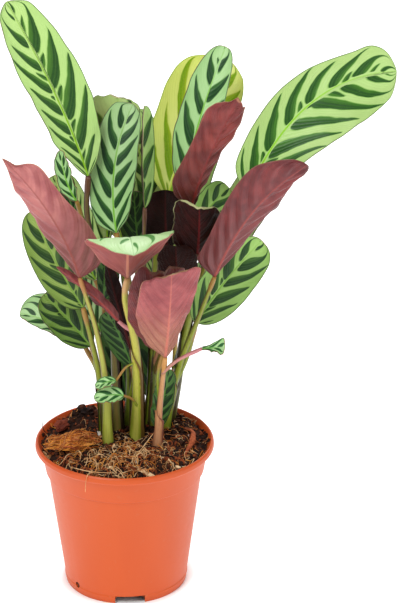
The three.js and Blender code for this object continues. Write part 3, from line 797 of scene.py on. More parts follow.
    def build(self, uppers: dict, unders: dict) -> bpy.types.Object:
        """Makes the blade: a fine grid laid on the sheet, given its thickness.

        Args:
            uppers: The materials of the upper sides.
            unders: The materials of the undersides.

        Returns:
            The blade's object.
        """
        sheet = bmesh.new()
        bmesh.ops.create_grid(sheet, x_segments=self.ACROSS, y_segments=self.ALONG, size=0.5)
        chart = sheet.loops.layers.uv.new("blade_uv")
        field = sheet.verts.layers.float_vector.new("blade")
        wear = sheet.verts.layers.float.new("wear")
        length = self.length()
        chart_of, place_of = {}, {}
        for vert in sheet.verts:
            even = vert.co.y + 0.5
            share = mix(even, 0.5 - 0.5 * math.cos(math.pi * even), self.CROWDING)
            across = 2 * vert.co.x
            width = self.half_width(share, across)
            number = self.veins(share, across, length) + self.SEED_STEP * self.seed
            vert[field] = (across * width, (1 - abs(across)) * width, number)
            vert[wear] = max(0.0, 1 - (1 - share) * length / self.crisp) if self.crisp else 0.0
            chart_of[vert] = (vert.co.x + 0.5, share)
            place_of[vert] = self.surface(share, across, length) * MM
        for vert in sheet.verts:
            vert.co = place_of[vert]
            for loop in vert.link_loops:
                loop[chart].uv = chart_of[vert]
        shown = len(sheet.faces)
        made = finished(self.name.replace("leaf", "blade"), sheet, [uppers[self.upper], unders[self.under]])
        wall = made.modifiers.new("wall", "SOLIDIFY")
        wall.thickness = self.THICKNESS * MM
        wall.offset = 0.0
        wall.material_offset = 1
        wall.material_offset_rim = 1
        harden_rim(made, 2 * shown)
        return settle(made, "leaf", self.name)


def harden_rim(piece: bpy.types.Object, inner_faces: int) -> None:
    """Applies a piece's modifiers and keeps the edges of its rim crisp.

    Args:
        piece: The piece.
        inner_faces: How many faces come before those of the rim.
    """
    mesh = applied(piece)
    edge_of = {tuple(sorted(edge.vertices)): edge for edge in mesh.edges}
    for face in list(mesh.polygons)[inner_faces:]:
        for key in face.edge_keys:
            edge_of[tuple(sorted(key))].use_edge_sharp = True


BLADES = (
    Blade("leaf_top_left", (-22, 12, 287), (-42, 30, 334), (-74, 45, 394), (0.1, -0.9, 0.35), 16, 23,
          pairs=(8.2, 5.4), ruffle=2.4, seed=1,
          margins=((0, 4, 4), (0.08, 6.5, 9), (0.2, 11.5, 16), (0.4, 15, 21.5), (0.6, 16, 22), (0.78, 15, 20),
                   (0.9, 12, 16), (0.96, 9, 12.5), (1, 5, 7))),
    Blade("leaf_upper_left", (-4, 8, 249), (-5, 22, 291), (7, 38, 327), (-0.1, -0.9, 0.35), 15, 15,
          upper=Upper.MINT, pairs=(5.5, 6), seed=2,
          margins=((0, 5, 3), (0.05, 10, 6.5), (0.1, 12.5, 9.3), (0.2, 14.5, 12.4), (0.35, 15.3, 14.6),
                   (0.5, 15, 15), (0.7, 14.8, 13.6), (0.85, 14, 11), (0.95, 11, 7), (1, 6, 4))),
    Blade("leaf_upper_left_rear", (-11, 29, 230), (-9, 46, 285), (-3, 60, 324), (-0.1, -0.9, 0.35), 19, 15,
          under=Under.BACKLIT_UNDER, pairs=(2.5, 2.5), ruffle=2.6, crisp=1.5, seed=3,
          margins=((0, 4, 3), (0.12, 7, 4), (0.25, 10, 5), (0.5, 17, 10), (0.75, 19, 14), (0.9, 18, 16),
                   (1, 14, 15))),
    Blade("leaf_folded_centre", (15, -6, 272), (14, 0, 304), (15, 6, 337), (0.9, -0.4, 0.1), 9, 10,
          square=(2.2, 2.6), cup=(50, 50), under=Under.MAROON, pairs=(3.2, 3.2), ruffle=0.3, seed=4),
    Blade("leaf_backlit_centre", (29, 16, 270), (47, 36, 314), (72, 52, 350), (0.1, -0.9, 0.35), 30, 22,
          upper=Upper.BACKLIT, under=Under.BACKLIT_UNDER, pairs=(3.8, 3.8), seed=5,
          margins=((0, 4, 5), (0.1, 14, 11), (0.2, 21, 20), (0.3, 24, 23), (0.5, 27.5, 22), (0.7, 30, 21),
                   (0.85, 26, 18), (0.95, 15, 12), (1, 6, 6))),
    Blade("leaf_top_centre", (40, 0, 285), (51, 12, 328), (67, 26, 370), (0.1, -0.9, 0.3), 15, 12,
          square=(2.6, 2.6), cup=(30, 20), upper=Upper.MINT, pairs=(4.6, 4.8), seed=6),
    Blade("leaf_purple_centre", (45, -10, 273), (56, -26, 314), (74, -38, 356), (-0.1, 0.9, 0.3), 10, 17,
          cup=(40, 25), ruffle=1.4, ripple=0.8, crisp=3, seed=7,
          margins=((0, 3, 6), (0.08, 3, 13), (0.23, 3.8, 16.5), (0.43, 7.5, 14.5), (0.63, 9, 13.5),
                   (0.77, 10.5, 14.5), (0.87, 10, 14), (0.95, 8, 8), (1, 4, 3))),
    Blade("leaf_top_right", (81, 12, 274), (122, 28, 331), (178, 42, 348), (-0.1, -0.9, 0.4), 20, 30,
          cup=(20, 12), upper=Upper.BANDED, pairs=(7, 6), ruffle=1.2, seed=8,
          margins=((0, 8, 8), (0.08, 15, 15), (0.2, 17.5, 22), (0.4, 20, 28.5), (0.55, 19.5, 30),
                   (0.7, 17.5, 29), (0.8, 17, 26.5), (0.88, 18.5, 22.5), (0.93, 16, 19), (0.97, 11, 15),
                   (1, 6, 11))),
    Blade("leaf_purple_right", (60, -18, 229), (84, -42, 284), (117, -58, 321), (-0.3, 0.85, 0.2), 15.5, 21,
          cup=(45, 25), under=Under.ROSE, ruffle=1.2, ripple=0.9, seed=9,
          margins=((0, 4, 7), (0.06, 5, 15), (0.14, 9, 15.5), (0.25, 14, 15.5), (0.45, 17, 18),
                   (0.6, 15.5, 20.5), (0.75, 11, 21), (0.88, 8, 15), (1, 4, 5))),
    Blade("leaf_maroon_small", (29, 4, 239), (28, 6, 260), (28, 10, 278), (-0.2, 0.9, 0.1), 16, 15,
          cup=(35, 25), upper=Upper.SHADED, under=Under.SHADE, seed=10,
          margins=((0, 4, 6), (0.08, 7, 11), (0.25, 8.5, 14.5), (0.5, 12, 15), (0.75, 13.5, 13), (0.92, 9, 9),
                   (1, 4, 4))),
    Blade("leaf_maroon_cup", (49, -14, 243), (50, -22, 264), (50, -26, 281), (0, 0.8, 0.5), 16, 17,
          cup=(32, 45), upper=Upper.MINT, under=Under.MAROON, pairs=(4, 4), ruffle=1.3, ripple=0.4, crisp=2.2,
          skew=3, seed=11,
          margins=((0, 13, 13), (0.05, 16, 16), (0.15, 17.5, 17.5), (0.4, 17, 18), (0.7, 15, 17.5),
                   (0.9, 13, 17), (1, 11, 14))),
    Blade("leaf_maroon_low", (36, -10, 209), (35.5, -16, 231), (35, -20, 251), (0.1, 0.9, 0.2), 14.5, 14,
          square=(2.8, 3), cup=(45, 40), upper=Upper.SHADED, under=Under.SHADE, seed=12),
    Blade("leaf_inner_right", (50, 14, 254), (59, 19, 265), (69, 26, 274), (0, -0.9, 0.4), 11, 10,
          square=(3, 2.2), upper=Upper.FERN, pairs=(2.5, 2.5), seed=13),
    Blade("leaf_front_arching", (4, -30, 233), (6, -60, 273), (10, -96, 276), (-0.1, 0.5, 0.86), 28, 27,
          cup=(14, -4), upper=Upper.PLAIN, under=Under.CORAL, pairs=(3, 3), ruffle=1.2, ripple=0.3, seed=14,
          margins=((0, 4, 4), (0.05, 8, 8), (0.12, 15, 15), (0.25, 23, 22), (0.4, 28, 27), (0.52, 28.5, 27.5),
                   (0.62, 27.5, 27), (0.72, 25, 25), (0.82, 20, 20.5), (0.9, 13, 14), (0.96, 7, 7.5),
                   (1, 2, 2))),
    Blade("leaf_front_purple", (28, -32, 178), (31, -50, 215), (32.7, -61, 248.6), (-0.1, 0.9, 0.3), 18, 21,
          cup=(35, 18), under=Under.PINK, ruffle=1.3, ripple=0.5, crisp=1.6, skew=-5.5, seed=15,
          margins=((0, 3, 3.5), (0.06, 4.2, 8), (0.19, 7, 16), (0.29, 9, 19), (0.43, 12, 21),
                   (0.52, 13, 21.5), (0.6, 14.5, 21.2), (0.82, 18.4, 20), (0.93, 19, 19), (1, 19, 17))),
    Blade("leaf_front_purple_rear", (26.5, -21, 176), (26, -36, 211), (28, -46.5, 246), (-0.2, 0.9, 0.2), 13,
          21, cup=(40, 25), under=Under.ROSE, ruffle=1.8, crisp=3.5, seed=16,
          margins=((0, 3, 5), (0.1, 5, 12), (0.25, 8, 18), (0.45, 11, 22), (0.7, 13, 22), (0.9, 14, 19),
                   (1, 14, 15))),
    Blade("leaf_purple_left", (-27, -22, 230), (-44, -40, 281), (-72, -52, 323), (0.2, 0.9, 0.2), 18, 14,
          cup=(35, 25), under=Under.DUSK, ruffle=1.2, ripple=0.5, seed=17,
          margins=((0, 11, 3), (0.05, 16, 5), (0.12, 19, 8), (0.25, 19.5, 12), (0.4, 17.5, 14.5),
                   (0.55, 14, 14.5), (0.7, 13.5, 12.5), (0.8, 14, 9.5), (0.85, 12.5, 7.5), (0.88, 9, 6),
                   (0.91, 3.5, 4.5), (0.95, 2, 2.5), (1, 0.8, 0.8))),
    Blade("leaf_left_rear", (-26, -6, 202), (-43, 0, 231), (-58.5, 6, 265), (-0.2, -0.9, 0.4), 15.5, 12.5,
          square=(2.4, 2.6), cup=(20, 15), upper=Upper.OLIVE, pairs=(4.6, 4.6), seed=18),
    Blade("leaf_low_left", (-22, 8, 168), (-38, 12, 186.5), (-53, 20, 200), (-0.2, -0.8, 0.6), 13.5, 11.5,
          square=(2.4, 2.6), cup=(20, 15), upper=Upper.SHADED, pairs=(3.6, 3.6), seed=19),
    Blade("leaf_low_left_tip", (-27, 18, 164), (-48, 24, 177), (-70, 30, 182), (-0.2, -0.7, 0.7), 7, 19,
          cup=(20, 15), upper=Upper.MINT, pairs=(4, 4), seed=20),
    Blade("leaf_low_right", (48, 8, 185), (68, 10, 215), (91, 14, 241), (0.1, -0.9, 0.4), 15, 18,
          square=(2.4, 3), cup=(20, 15), upper=Upper.FERN, pairs=(4.6, 4.6), seed=21),
    Blade("leaf_rolled_young", (52, -40, 188), (59.5, -42, 189.6), (66.6, -44, 190.9), (-0.1, -0.7, 0.7), 6,
          6, cup=(50, 30), upper=Upper.YOUNG, pairs=(2, 2), seed=22,
          margins=((0, 1, 1), (0.3, 2, 2.5), (0.6, 4, 4), (0.9, 6, 6), (1, 5, 5.5))),
    Blade("leaf_sprout_low", (0, -12, 141), (-9, -15, 143), (-19, -18, 141), (0, -0.6, 0.8), 6.5, 6,
          square=(2.2, 2.2), cup=(20, 20), upper=Upper.YOUNG, pairs=(2.4, 2.4), seed=23),
    Blade("leaf_sprout_high", (-5, -12, 152), (-12, -15, 152), (-18, -17, 149), (0, -0.6, 0.8), 4, 4,
          square=(2.2, 2.2), cup=(20, 20), upper=Upper.YOUNG, pairs=(2.4, 2.4), seed=24),
    Blade("leaf_folded_left", (-29, -4, 276), (-36, 2, 289), (-39, 8, 306), (-0.2, -0.9, 0.3), 6, 6,
          cup=(60, 45), upper=Upper.MINT, pairs=(4, 4), seed=25),
    Blade("leaf_shaded_left", (5, 6, 154), (-3, 7, 176), (-12, 7, 193), (-0.5, -0.7, 0.3), 11, 10,
          cup=(30, 20), upper=Upper.DEEP_SHADE, pairs=(5, 5), seed=26),
    Blade("leaf_shaded_right", (22, 3, 110), (26, 3, 131), (31, 3, 153), (0.1, -0.9, 0.3), 8, 7, cup=(35, 20),
          upper=Upper.DEEP_SHADE, pairs=(5, 5), seed=27),
    Blade("leaf_dried_left", (-3, -12, 195), (-18, -14, 213), (-42, -16, 235), (0.2, 0.9, 0.2), 5, 5,
          square=(2, 2), cup=(60, 60), under=Under.ROSE, ruffle=1.6, seed=28),
    Blade("leaf_inner_left", (10, 28, 229), (8, 34, 247), (7, 42, 265), (0, -0.9, 0.3), 11, 11, cup=(20, 15),
          upper=Upper.DEEP_SHADE, pairs=(4, 4), seed=29),
    Blade("leaf_inner_purple", (5, -4, 171), (-3, -1, 200), (-10, 3, 229), (0.2, 0.9, 0.1), 6, 6,
          cup=(50, 40), upper=Upper.SHADED, under=Under.SHADE, seed=30),
    Blade("leaf_left_inner", (-28, 17, 250), (-33, 20, 262), (-38, 23, 276), (0.1, -0.9, 0.3), 7, 5,
          cup=(30, 20), upper=Upper.DEEP_SHADE, pairs=(4, 4), seed=31),
    Blade("leaf_inner_olive", (-13, 9, 201), (-12, 8.5, 222), (-11, 8, 246), (0, -0.9, 0.2), 5, 10,
          cup=(15, 10), upper=Upper.DEEP_SHADE, pairs=(4, 4), seed=43),
    Blade("leaf_inner_low_left", (1, 31, 116), (-3, 33, 150), (-6, 36, 186), (0, -0.9, 0.2), 13, 8,
          cup=(10, 10), upper=Upper.DEEP_SHADE, pairs=(4, 4), seed=41,
          margins=((0, 4, 3), (0.25, 10, 6), (0.6, 13, 8), (0.85, 10, 7), (1, 5, 4))),
    Blade("leaf_inner_low_right", (17, 32, 116), (18, 34, 150), (18, 37, 187), (0, -0.9, 0.2), 10, 12,
          cup=(10, 10), upper=Upper.DEEP_SHADE, pairs=(4, 4), seed=42,
          margins=((0, 3, 4), (0.3, 8, 8), (0.6, 10, 11), (0.85, 8, 12), (1, 4, 6))),
    Blade("leaf_back_top", (36, 58, 232), (46, 72, 275), (60, 80, 308), (0.1, -0.8, 0.5), 16, 16,
          square=(2.4, 2.6), under=Under.ROSE, seed=32),
    Blade("leaf_back_upper_left", (-2, 52, 226), (-6, 66, 258), (-10, 74, 284), (0.3, -0.8, 0.5), 15, 15,
          square=(2.4, 2.6), seed=33),
    Blade("leaf_back_middle", (24, 62, 186), (26, 90, 214), (30, 110, 224), (0, -0.5, 0.8), 17, 17,
          square=(2.4, 2.8), cup=(20, 10), seed=34),
    Blade("leaf_back_centre", (14, 62, 222), (12, 84, 262), (2, 100, 300), (0.1, -0.8, 0.6), 18, 18,
          square=(2.4, 3.4), under=Under.ROSE, seed=35),
    Blade("leaf_back_right", (58, 58, 205), (84, 78, 242), (112, 92, 280), (-0.4, -0.7, 0.6), 18, 18,
          square=(3.4, 2.4), under=Under.ROSE, seed=36),
    Blade("leaf_back_left", (-20, 54, 196), (-36, 72, 228), (-48, 84, 260), (0.4, -0.7, 0.6), 17, 17,
          square=(2.4, 3.4), under=Under.PINK, seed=37),
    Blade("leaf_back_low_right", (34, 56, 158), (56, 80, 184), (70, 100, 200), (-0.3, -0.4, 0.8), 15, 16,
          square=(3, 2.4), cup=(20, 10), upper=Upper.MINT, seed=38),
    Blade("leaf_back_low_left", (-14, 54, 152), (-32, 78, 178), (-44, 98, 192), (0.3, -0.4, 0.8), 15, 15,
          square=(2.4, 3), cup=(20, 10), upper=Upper.MINT, seed=39),
)


class Foliage:
    """All the leaf blades."""

    def build(self) -> None:
        """Makes the materials once and then every blade."""
        uppers = {each: each.value.material() for each in Upper}
        unders = {each: each.value.material() for each in Under}
        for blade in BLADES:
            blade.build(uppers, unders)


# ---- canes and petioles --------------


@dataclass(frozen=True)
class CaneFinish:
    """The skin of a cane: two colours along its length, painted shade on the flanks turned from the front, a
    painted highlight down the front and a swollen joint under the blade.
    """

    name: str
    low: Colour
    high: Colour
    # Painted shade on the flanks turned from the front, and also the colour of the skin's dark streaks and
    # specks.
    flank_shade_and_streaks: Colour
    joint: Colour
    crest_highlight: Colour  # a painted highlight: the bright line down the middle of the lit side, which faces the front

    SHINE = 0.45
    STREAK_STRETCH = (1.0, 1.0, 0.06)
    STREAK = 0.0011  # the sizes of the noises, in metres
    CLOUD = 0.02
    SPECK = 0.0007

    def material(self) -> bpy.types.Material:
        """Builds the material, which reads the cane's "cane" attribute.

        Returns:
            The material.
        """
        sheet = NodeSheet(self.name)
        share, front, to_blade = sheet.parts(sheet.attribute("cane"))
        streak = sheet.grain(self.STREAK, 3.0, sheet.stretched(self.STREAK_STRETCH))
        speck = sheet.grain(self.SPECK)
        rise = sheet.plus(share, sheet.grain(self.CLOUD), 0.3)
        colour = sheet.blend(sheet.ease(rise, 0.25, 0.95), self.low, self.high)
        # Painted shade on the flanks that turn away from the front, then a painted highlight down the middle
        # of the front.
        edge = sheet.minus(sheet.times(streak, 0.5), front)
        colour = sheet.tint(colour, self.flank_shade_and_streaks, sheet.ease(edge, -0.35, 0.1), 0.9)
        highlight_band = sheet.plus(front, streak, 0.4)
        colour = sheet.tint(colour, self.crest_highlight, sheet.ease(highlight_band, 0.85, 1.15), 0.7)
        colour = sheet.tint(colour, self.flank_shade_and_streaks, sheet.ease(streak, 0.52, 0.75), 0.35)
        colour = sheet.tint(colour, self.joint, sheet.ease(to_blade, 0.016, 0.009), 0.85)
        colour = sheet.tint(colour, self.flank_shade_and_streaks, speck, 0.14)
        relief = sheet.plus(sheet.times(speck, 0.3), streak, 0.7)
        return sheet.coat(colour, sheet.between(streak, 0.32, 0.5), sheet.bump(relief, 0.0002), self.SHINE)


class Skin(Enum):
    """The colours that canes and petioles come in."""

    LIME = CaneFinish("cane_lime", srgb(160, 174, 48), srgb(190, 172, 66), srgb(96, 58, 26),
                      srgb(214, 160, 110), srgb(212, 212, 96))
    MOSS = CaneFinish("cane_moss", srgb(150, 162, 54), srgb(140, 120, 44), srgb(80, 46, 22),
                      srgb(176, 110, 60), srgb(190, 196, 84))
    OLIVE = CaneFinish("cane_olive", srgb(124, 146, 34), srgb(116, 106, 34), srgb(56, 36, 18),
                       srgb(170, 120, 54), srgb(164, 180, 56))
    TAN = CaneFinish("cane_tan", srgb(192, 130, 92), srgb(186, 136, 80), srgb(122, 68, 54),
                     srgb(200, 144, 72), srgb(218, 164, 118))
    MAROON = CaneFinish("cane_maroon", srgb(120, 118, 48), srgb(92, 48, 36), srgb(48, 22, 18),
                        srgb(104, 60, 42), srgb(138, 116, 60))
    PINK = CaneFinish("cane_pink", srgb(150, 128, 66), srgb(190, 118, 122), srgb(128, 62, 70),
                      srgb(196, 126, 128), srgb(212, 142, 140))


@dataclass(frozen=True)
class Stalk:
    """One cane or petiole, in millimetres, from where it starts to the blade that it carries."""

    start: tuple[float, ...]  # on the soil where no height is given
    via: tuple[Triple, ...]
    leaf: str
    radius: tuple[float, float]  # at the start and at the blade
    skin: Skin = Skin.OLIVE
    sheath: float = 0.0  # the share of its length that a sheath wraps
    opening: float = 0.0  # which way the sheath's slit looks, in degrees from the front

    SIDES = 12
    RING_STEP = 2.2
    ROUGH_STEPS = 160
    LEAST_RINGS = 10
    FOOT_DEPTH = 2.5  # how far the foot goes into the soil
    FLARE = 0.18
    JOINT_RISE = 0.22
    JOINT_AT = 6.0  # how far the swollen joint is from the blade, and how far it spreads
    JOINT_SPREAD = 4.5
    BLADE_GAP = 0.3
    FLATNESS = 1.08  # how much wider than deep the rod is
    SHEATH_STAND_OFF = 0.45
    SHEATH_THICKNESS = 0.25

    def path(self) -> list[Vector]:
        """Even points along the axis, from the start to the blade.

        Returns:
            The points in millimetres.
        """
        blade = next(each for each in BLADES if each.name == self.leaf)
        end = Vector(blade.base) - blade.direction(0) * self.BLADE_GAP
        x, y = self.start[:2]
        foot = self.start[2] if len(self.start) == 3 else soil_height(x, y) - self.FOOT_DEPTH
        points = [Vector((x, y, foot)), *(Vector(point) for point in self.via), end]
        rough = [through_points(points, i / self.ROUGH_STEPS) for i in range(self.ROUGH_STEPS + 1)]
        reach = [0.0]
        for before, after in zip(rough, rough[1:]):
            reach.append(reach[-1] + (after - before).length)
        rings = max(self.LEAST_RINGS, round(reach[-1] / self.RING_STEP))
        even, at = [], 0
        for i in range(rings + 1):
            wanted = reach[-1] * i / rings
            while at < self.ROUGH_STEPS - 1 and reach[at + 1] < wanted:
                at += 1
            part = (wanted - reach[at]) / (reach[at + 1] - reach[at])
            even.append(rough[at].lerp(rough[at + 1], part))
        return even

    def frames(self, points: list[Vector]) -> list[tuple[Vector, Vector]]:
        """How the cross-section turns.

        Args:
            points: The path.

        Returns:
            The front and the side direction at each point.
        """
        found, front = [], FRONT
        for i, _ in enumerate(points):
            along = (points[min(i + 1, len(points) - 1)] - points[max(i - 1, 0)]).normalized()
            front = (front - along * front.dot(along)).normalized()
            found.append((front, along.cross(front)))
        return found

    def girth(self, share: float, length: float) -> float:
        """The radius, with the foot's flare and the joint under the blade.

        Args:
            share: How far from the start to the blade, 0 to 1.
            length: The path's length.

        Returns:
            The radius in millimetres.
        """
        flare = 1 + self.FLARE * (1 - share) ** 8 * (len(self.start) == 2)
        from_joint = ((1 - share) * length - self.JOINT_AT) / self.JOINT_SPREAD
        joint = 1 + self.JOINT_RISE * math.exp(-from_joint**2)
        return mix(self.radius[0], self.radius[1], share**0.7) * flare * joint

    def add(self, cane: bmesh.types.BMesh, slot: int) -> None:
        """Adds the rod and its sheath to the cane's bmesh.

        Args:
            cane: The bmesh.
            slot: The material slot that its faces take.
        """
        points = self.path()
        frames = self.frames(points)
        rings = len(points) - 1
        length = path_length(points)
        self.wrap(cane, slot, points, frames, length, rings, 0.0)
        if self.sheath:
            covered = round(rings * self.sheath)
            self.wrap(cane, slot, points, frames, length, covered, self.SHEATH_STAND_OFF)

    def wrap(self, cane: bmesh.types.BMesh, slot: int, points: list, frames: list, length: float, rings: int,
             stand_off: float) -> None:
        """Lays a grid round the axis: the closed rod, or a sheath that stands off it and has a slit.

        Args:
            cane: The bmesh.
            slot: The material slot that its faces take.
            points: The path.
            frames: The front and side directions along it.
            length: The path's length.
            rings: How many steps of the path it covers.
            stand_off: The sheath's distance from the rod, or 0 for the rod itself.
        """
        mark = cane.verts.layers.float_vector["cane"]
        made = bmesh.ops.create_grid(cane, x_segments=self.SIDES, y_segments=rings, size=0.5)["verts"]
        for vert in made:
            step = min(round((vert.co.y + 0.5) * rings), rings)
            share = step / (len(points) - 1)
            part = step / rings
            span = math.pi * (mix(0.93, 0.12, ease(part, 0.55, 1.0) ** 1.5) if stand_off else 1.0)
            turn = 2 * span * vert.co.x + (math.radians(self.opening) + math.pi if stand_off else 0.0)
            front, side = frames[step]
            slit = max(0.0, abs(2 * vert.co.x) - 0.7) / 0.3
            lift = stand_off * (1 + 1.2 * slit + 0.5 * math.sin(9 * part + 4 * vert.co.x))
            radius = self.girth(share, length) + (lift if stand_off else 0.0)
            # How much the point faces the front: the skin's painted shade and painted highlight follow it,
            # and the sheath's slit edges count as turned away, so they take painted shade.
            facing = math.cos(turn) - (1.3 * slit if stand_off else 0.0)
            vert[mark] = (share, facing, (1 - share) * length * MM)
            out = front * math.cos(turn) + side * math.sin(turn) * self.FLATNESS
            vert.co = (points[step] + out * radius) * MM
        faces = list({face for vert in made for face in vert.link_faces})
        if stand_off:
            made = bmesh.ops.solidify(cane, geom=faces + made, thickness=-self.SHEATH_THICKNESS * MM)["geom"]
            faces += [each for each in made if isinstance(each, bmesh.types.BMFace)]
        else:
            bmesh.ops.remove_doubles(cane, verts=made, dist=TINY)
            rims = [edge for edge in cane.edges if edge.is_boundary]
            faces = list({face for vert in made if vert.is_valid for face in vert.link_faces})
            faces += bmesh.ops.holes_fill(cane, edges=rims, sides=0)["faces"]
        for face in faces:
            if face.is_valid:
                face.material_index = slot


@dataclass(frozen=True)
class Cane:
    """The canes and petioles that grow from one place."""

    name: str
    stalks: tuple[Stalk, ...]

    def build(self, skins: dict) -> bpy.types.Object:
        """Makes the cane.

        Args:
            skins: The materials of the skins.

        Returns:
            The cane's object.
        """
        cane = bmesh.new()
        cane.verts.layers.float_vector.new("cane")
        used = list(dict.fromkeys(stalk.skin for stalk in self.stalks))
        for stalk in self.stalks:
            stalk.add(cane, used.index(stalk.skin))
        bmesh.ops.recalc_face_normals(cane, faces=cane.faces)
        made = finished(self.name.replace("stem", "cane"), cane, [skins[skin] for skin in used])
        return settle(made, "stem", self.name)


CANES = (
    Cane("stem_front", (
        Stalk((8, 8), ((9, 3, 132), (8, -9, 177), (2, -24, 217)), "leaf_front_arching", (4.2, 1.7), Skin.LIME,
              0.62, 70),
        Stalk((9, 2, 126), ((5, -6, 136),), "leaf_sprout_low", (0.9, 0.7)),
        Stalk((8, -5, 162), ((2, -10, 161),), "leaf_sprout_high", (0.8, 0.6)),
        Stalk((6, -14, 189), ((2, -13, 191),), "leaf_dried_left", (1.2, 1), Skin.PINK),
        Stalk((9, 1, 140), ((7, 2, 156),), "leaf_inner_purple", (1.4, 1.2), Skin.MAROON),
    )),
    Cane("stem_front_right", (
        Stalk((22, -6), ((24, -14, 135),), "leaf_front_purple", (2.6, 1.3), Skin.TAN, 0.4, 120),
        Stalk((24, -14, 138), ((23, -19, 160),), "leaf_front_purple_rear", (1.4, 1.1)),
        Stalk((26, -26, 164), ((36, -34, 177),), "leaf_rolled_young", (1.3, 1.0), Skin.PINK),
    )),
    Cane("stem_right", (
        Stalk((26, 20), ((36, 10, 150), (50, -4, 195)), "leaf_purple_right", (2.9, 1.25), Skin.OLIVE,
              0.35, 150),
        Stalk((33, 14, 136), ((42, 10, 160),), "leaf_low_right", (1.8, 1.4)),
    )),
    Cane("stem_left", (
        Stalk((-11, -3), ((-12, -6, 148), (-18, -13, 192)), "leaf_purple_left", (3.0, 1.2), Skin.MOSS,
              0.4, 150),
    )),
    Cane("stem_far_left", (
        Stalk((-14, 10), ((-17, 4, 150),), "leaf_left_rear", (2.8, 1.4), Skin.OLIVE, 0.5, -40),
        Stalk((-15, 8, 122), ((-16, 8, 148),), "leaf_low_left", (1.6, 1.3)),
        Stalk((-15, 9, 118), ((-18, 15, 145),), "leaf_low_left_tip", (1.6, 1.3)),
    )),
    Cane("stem_rear_left", (
        Stalk((-4, 17), ((-9, 17, 190), (-23, 14, 258)), "leaf_top_left", (3, 1.6), Skin.MAROON, 0.8, 60),
        Stalk((-15, 16, 220), ((-25, 4, 258),), "leaf_folded_left", (1.5, 1.2)),
        Stalk((-12, 17, 204), ((-21, 19, 228),), "leaf_left_inner", (1.4, 1.2)),
        Stalk((-7, 17, 172), ((-12, 11.5, 187),), "leaf_inner_olive", (1.4, 1.2)),
    )),
    Cane("stem_rear", (
        Stalk((3, 22), ((3, 22, 170), (-1, 15, 225)), "leaf_upper_left", (2.8, 1.5), Skin.OLIVE, 0.5, 30),
        Stalk((3, 22, 150), ((-3, 27, 198),), "leaf_upper_left_rear", (1.8, 1.4)),
        Stalk((3, 22, 104), ((2, 28, 107.5),), "leaf_inner_low_left", (1.6, 1.3)),
        Stalk((3, 22, 165), ((8, 26, 205),), "leaf_inner_left", (1.6, 1.3)),
        Stalk((3, 22, 122), ((6, 12, 144),), "leaf_shaded_left", (1.4, 1.1)),
    )),
    Cane("stem_centre", (
        Stalk((16, 24), ((20, 22, 170), (22, 18, 235)), "leaf_backlit_centre", (3.4, 1.6), Skin.OLIVE,
              0.5, -30),
        Stalk((20, 22, 165), ((14, 6, 225),), "leaf_folded_centre", (1.6, 1.2), Skin.MAROON),
        Stalk((20, 22, 170), ((22, 8, 215),), "leaf_maroon_small", (1.6, 1.2), Skin.MAROON),
        Stalk((19, 22, 150), ((36, 10, 230),), "leaf_top_centre", (2, 1.5)),
        Stalk((19, 22, 145), ((42, 3, 235),), "leaf_purple_centre", (1.8, 1.5), Skin.TAN),
        Stalk((20, 21, 158), ((38, 4, 212),), "leaf_maroon_cup", (1.6, 1.3), Skin.MAROON),
        Stalk((19, 22, 140), ((34, 6, 190),), "leaf_maroon_low", (1.6, 1.2), Skin.MAROON),
        Stalk((19, 22, 150), ((40, 18, 210),), "leaf_inner_right", (1.6, 1.3)),
        Stalk((16, 24, 104), ((17, 29.5, 108),), "leaf_inner_low_right", (1.6, 1.3)),
    )),
    Cane("stem_back_right", (
        Stalk((29, 33), ((46, 32, 190), (68, 24, 255)), "leaf_top_right", (3.2, 1.7), Skin.OLIVE, 0.5, 0),
        Stalk((33, 33, 140), ((46, 46, 180),), "leaf_back_right", (1.8, 1.5)),
        Stalk((31, 33, 116), ((33, 44, 138),), "leaf_back_low_right", (1.6, 1.4), Skin.LIME),
        Stalk((39, 33, 160), ((38, 44, 198),), "leaf_back_top", (1.8, 1.5)),
    )),
    Cane("stem_back", (
        Stalk((8, 38), ((10, 46, 170),), "leaf_back_centre", (2.8, 1.5), Skin.LIME, 0.5, 180),
        Stalk((8, 40, 130), ((-8, 46, 168),), "leaf_back_left", (1.6, 1.4)),
        Stalk((8, 39, 112), ((-2, 44, 132),), "leaf_back_low_left", (1.6, 1.4)),
        Stalk((9, 43, 150), ((4, 48, 190),), "leaf_back_upper_left", (1.6, 1.4)),
        Stalk((9, 42, 138), ((16, 54, 162),), "leaf_back_middle", (1.6, 1.4)),
    )),
    Cane("stem_sprout", (
        Stalk((21, 2), ((21.5, 2.6, 105),), "leaf_shaded_right", (1.5, 1.3)),
    )),
)


class Canes:
    """All the canes and petioles."""

    def build(self) -> None:
        """Makes the materials once and then every cane."""
        skins = {each: each.value.material() for each in Skin}
        for cane in CANES:
            cane.build(skins)


# ---- pot -----------------------------


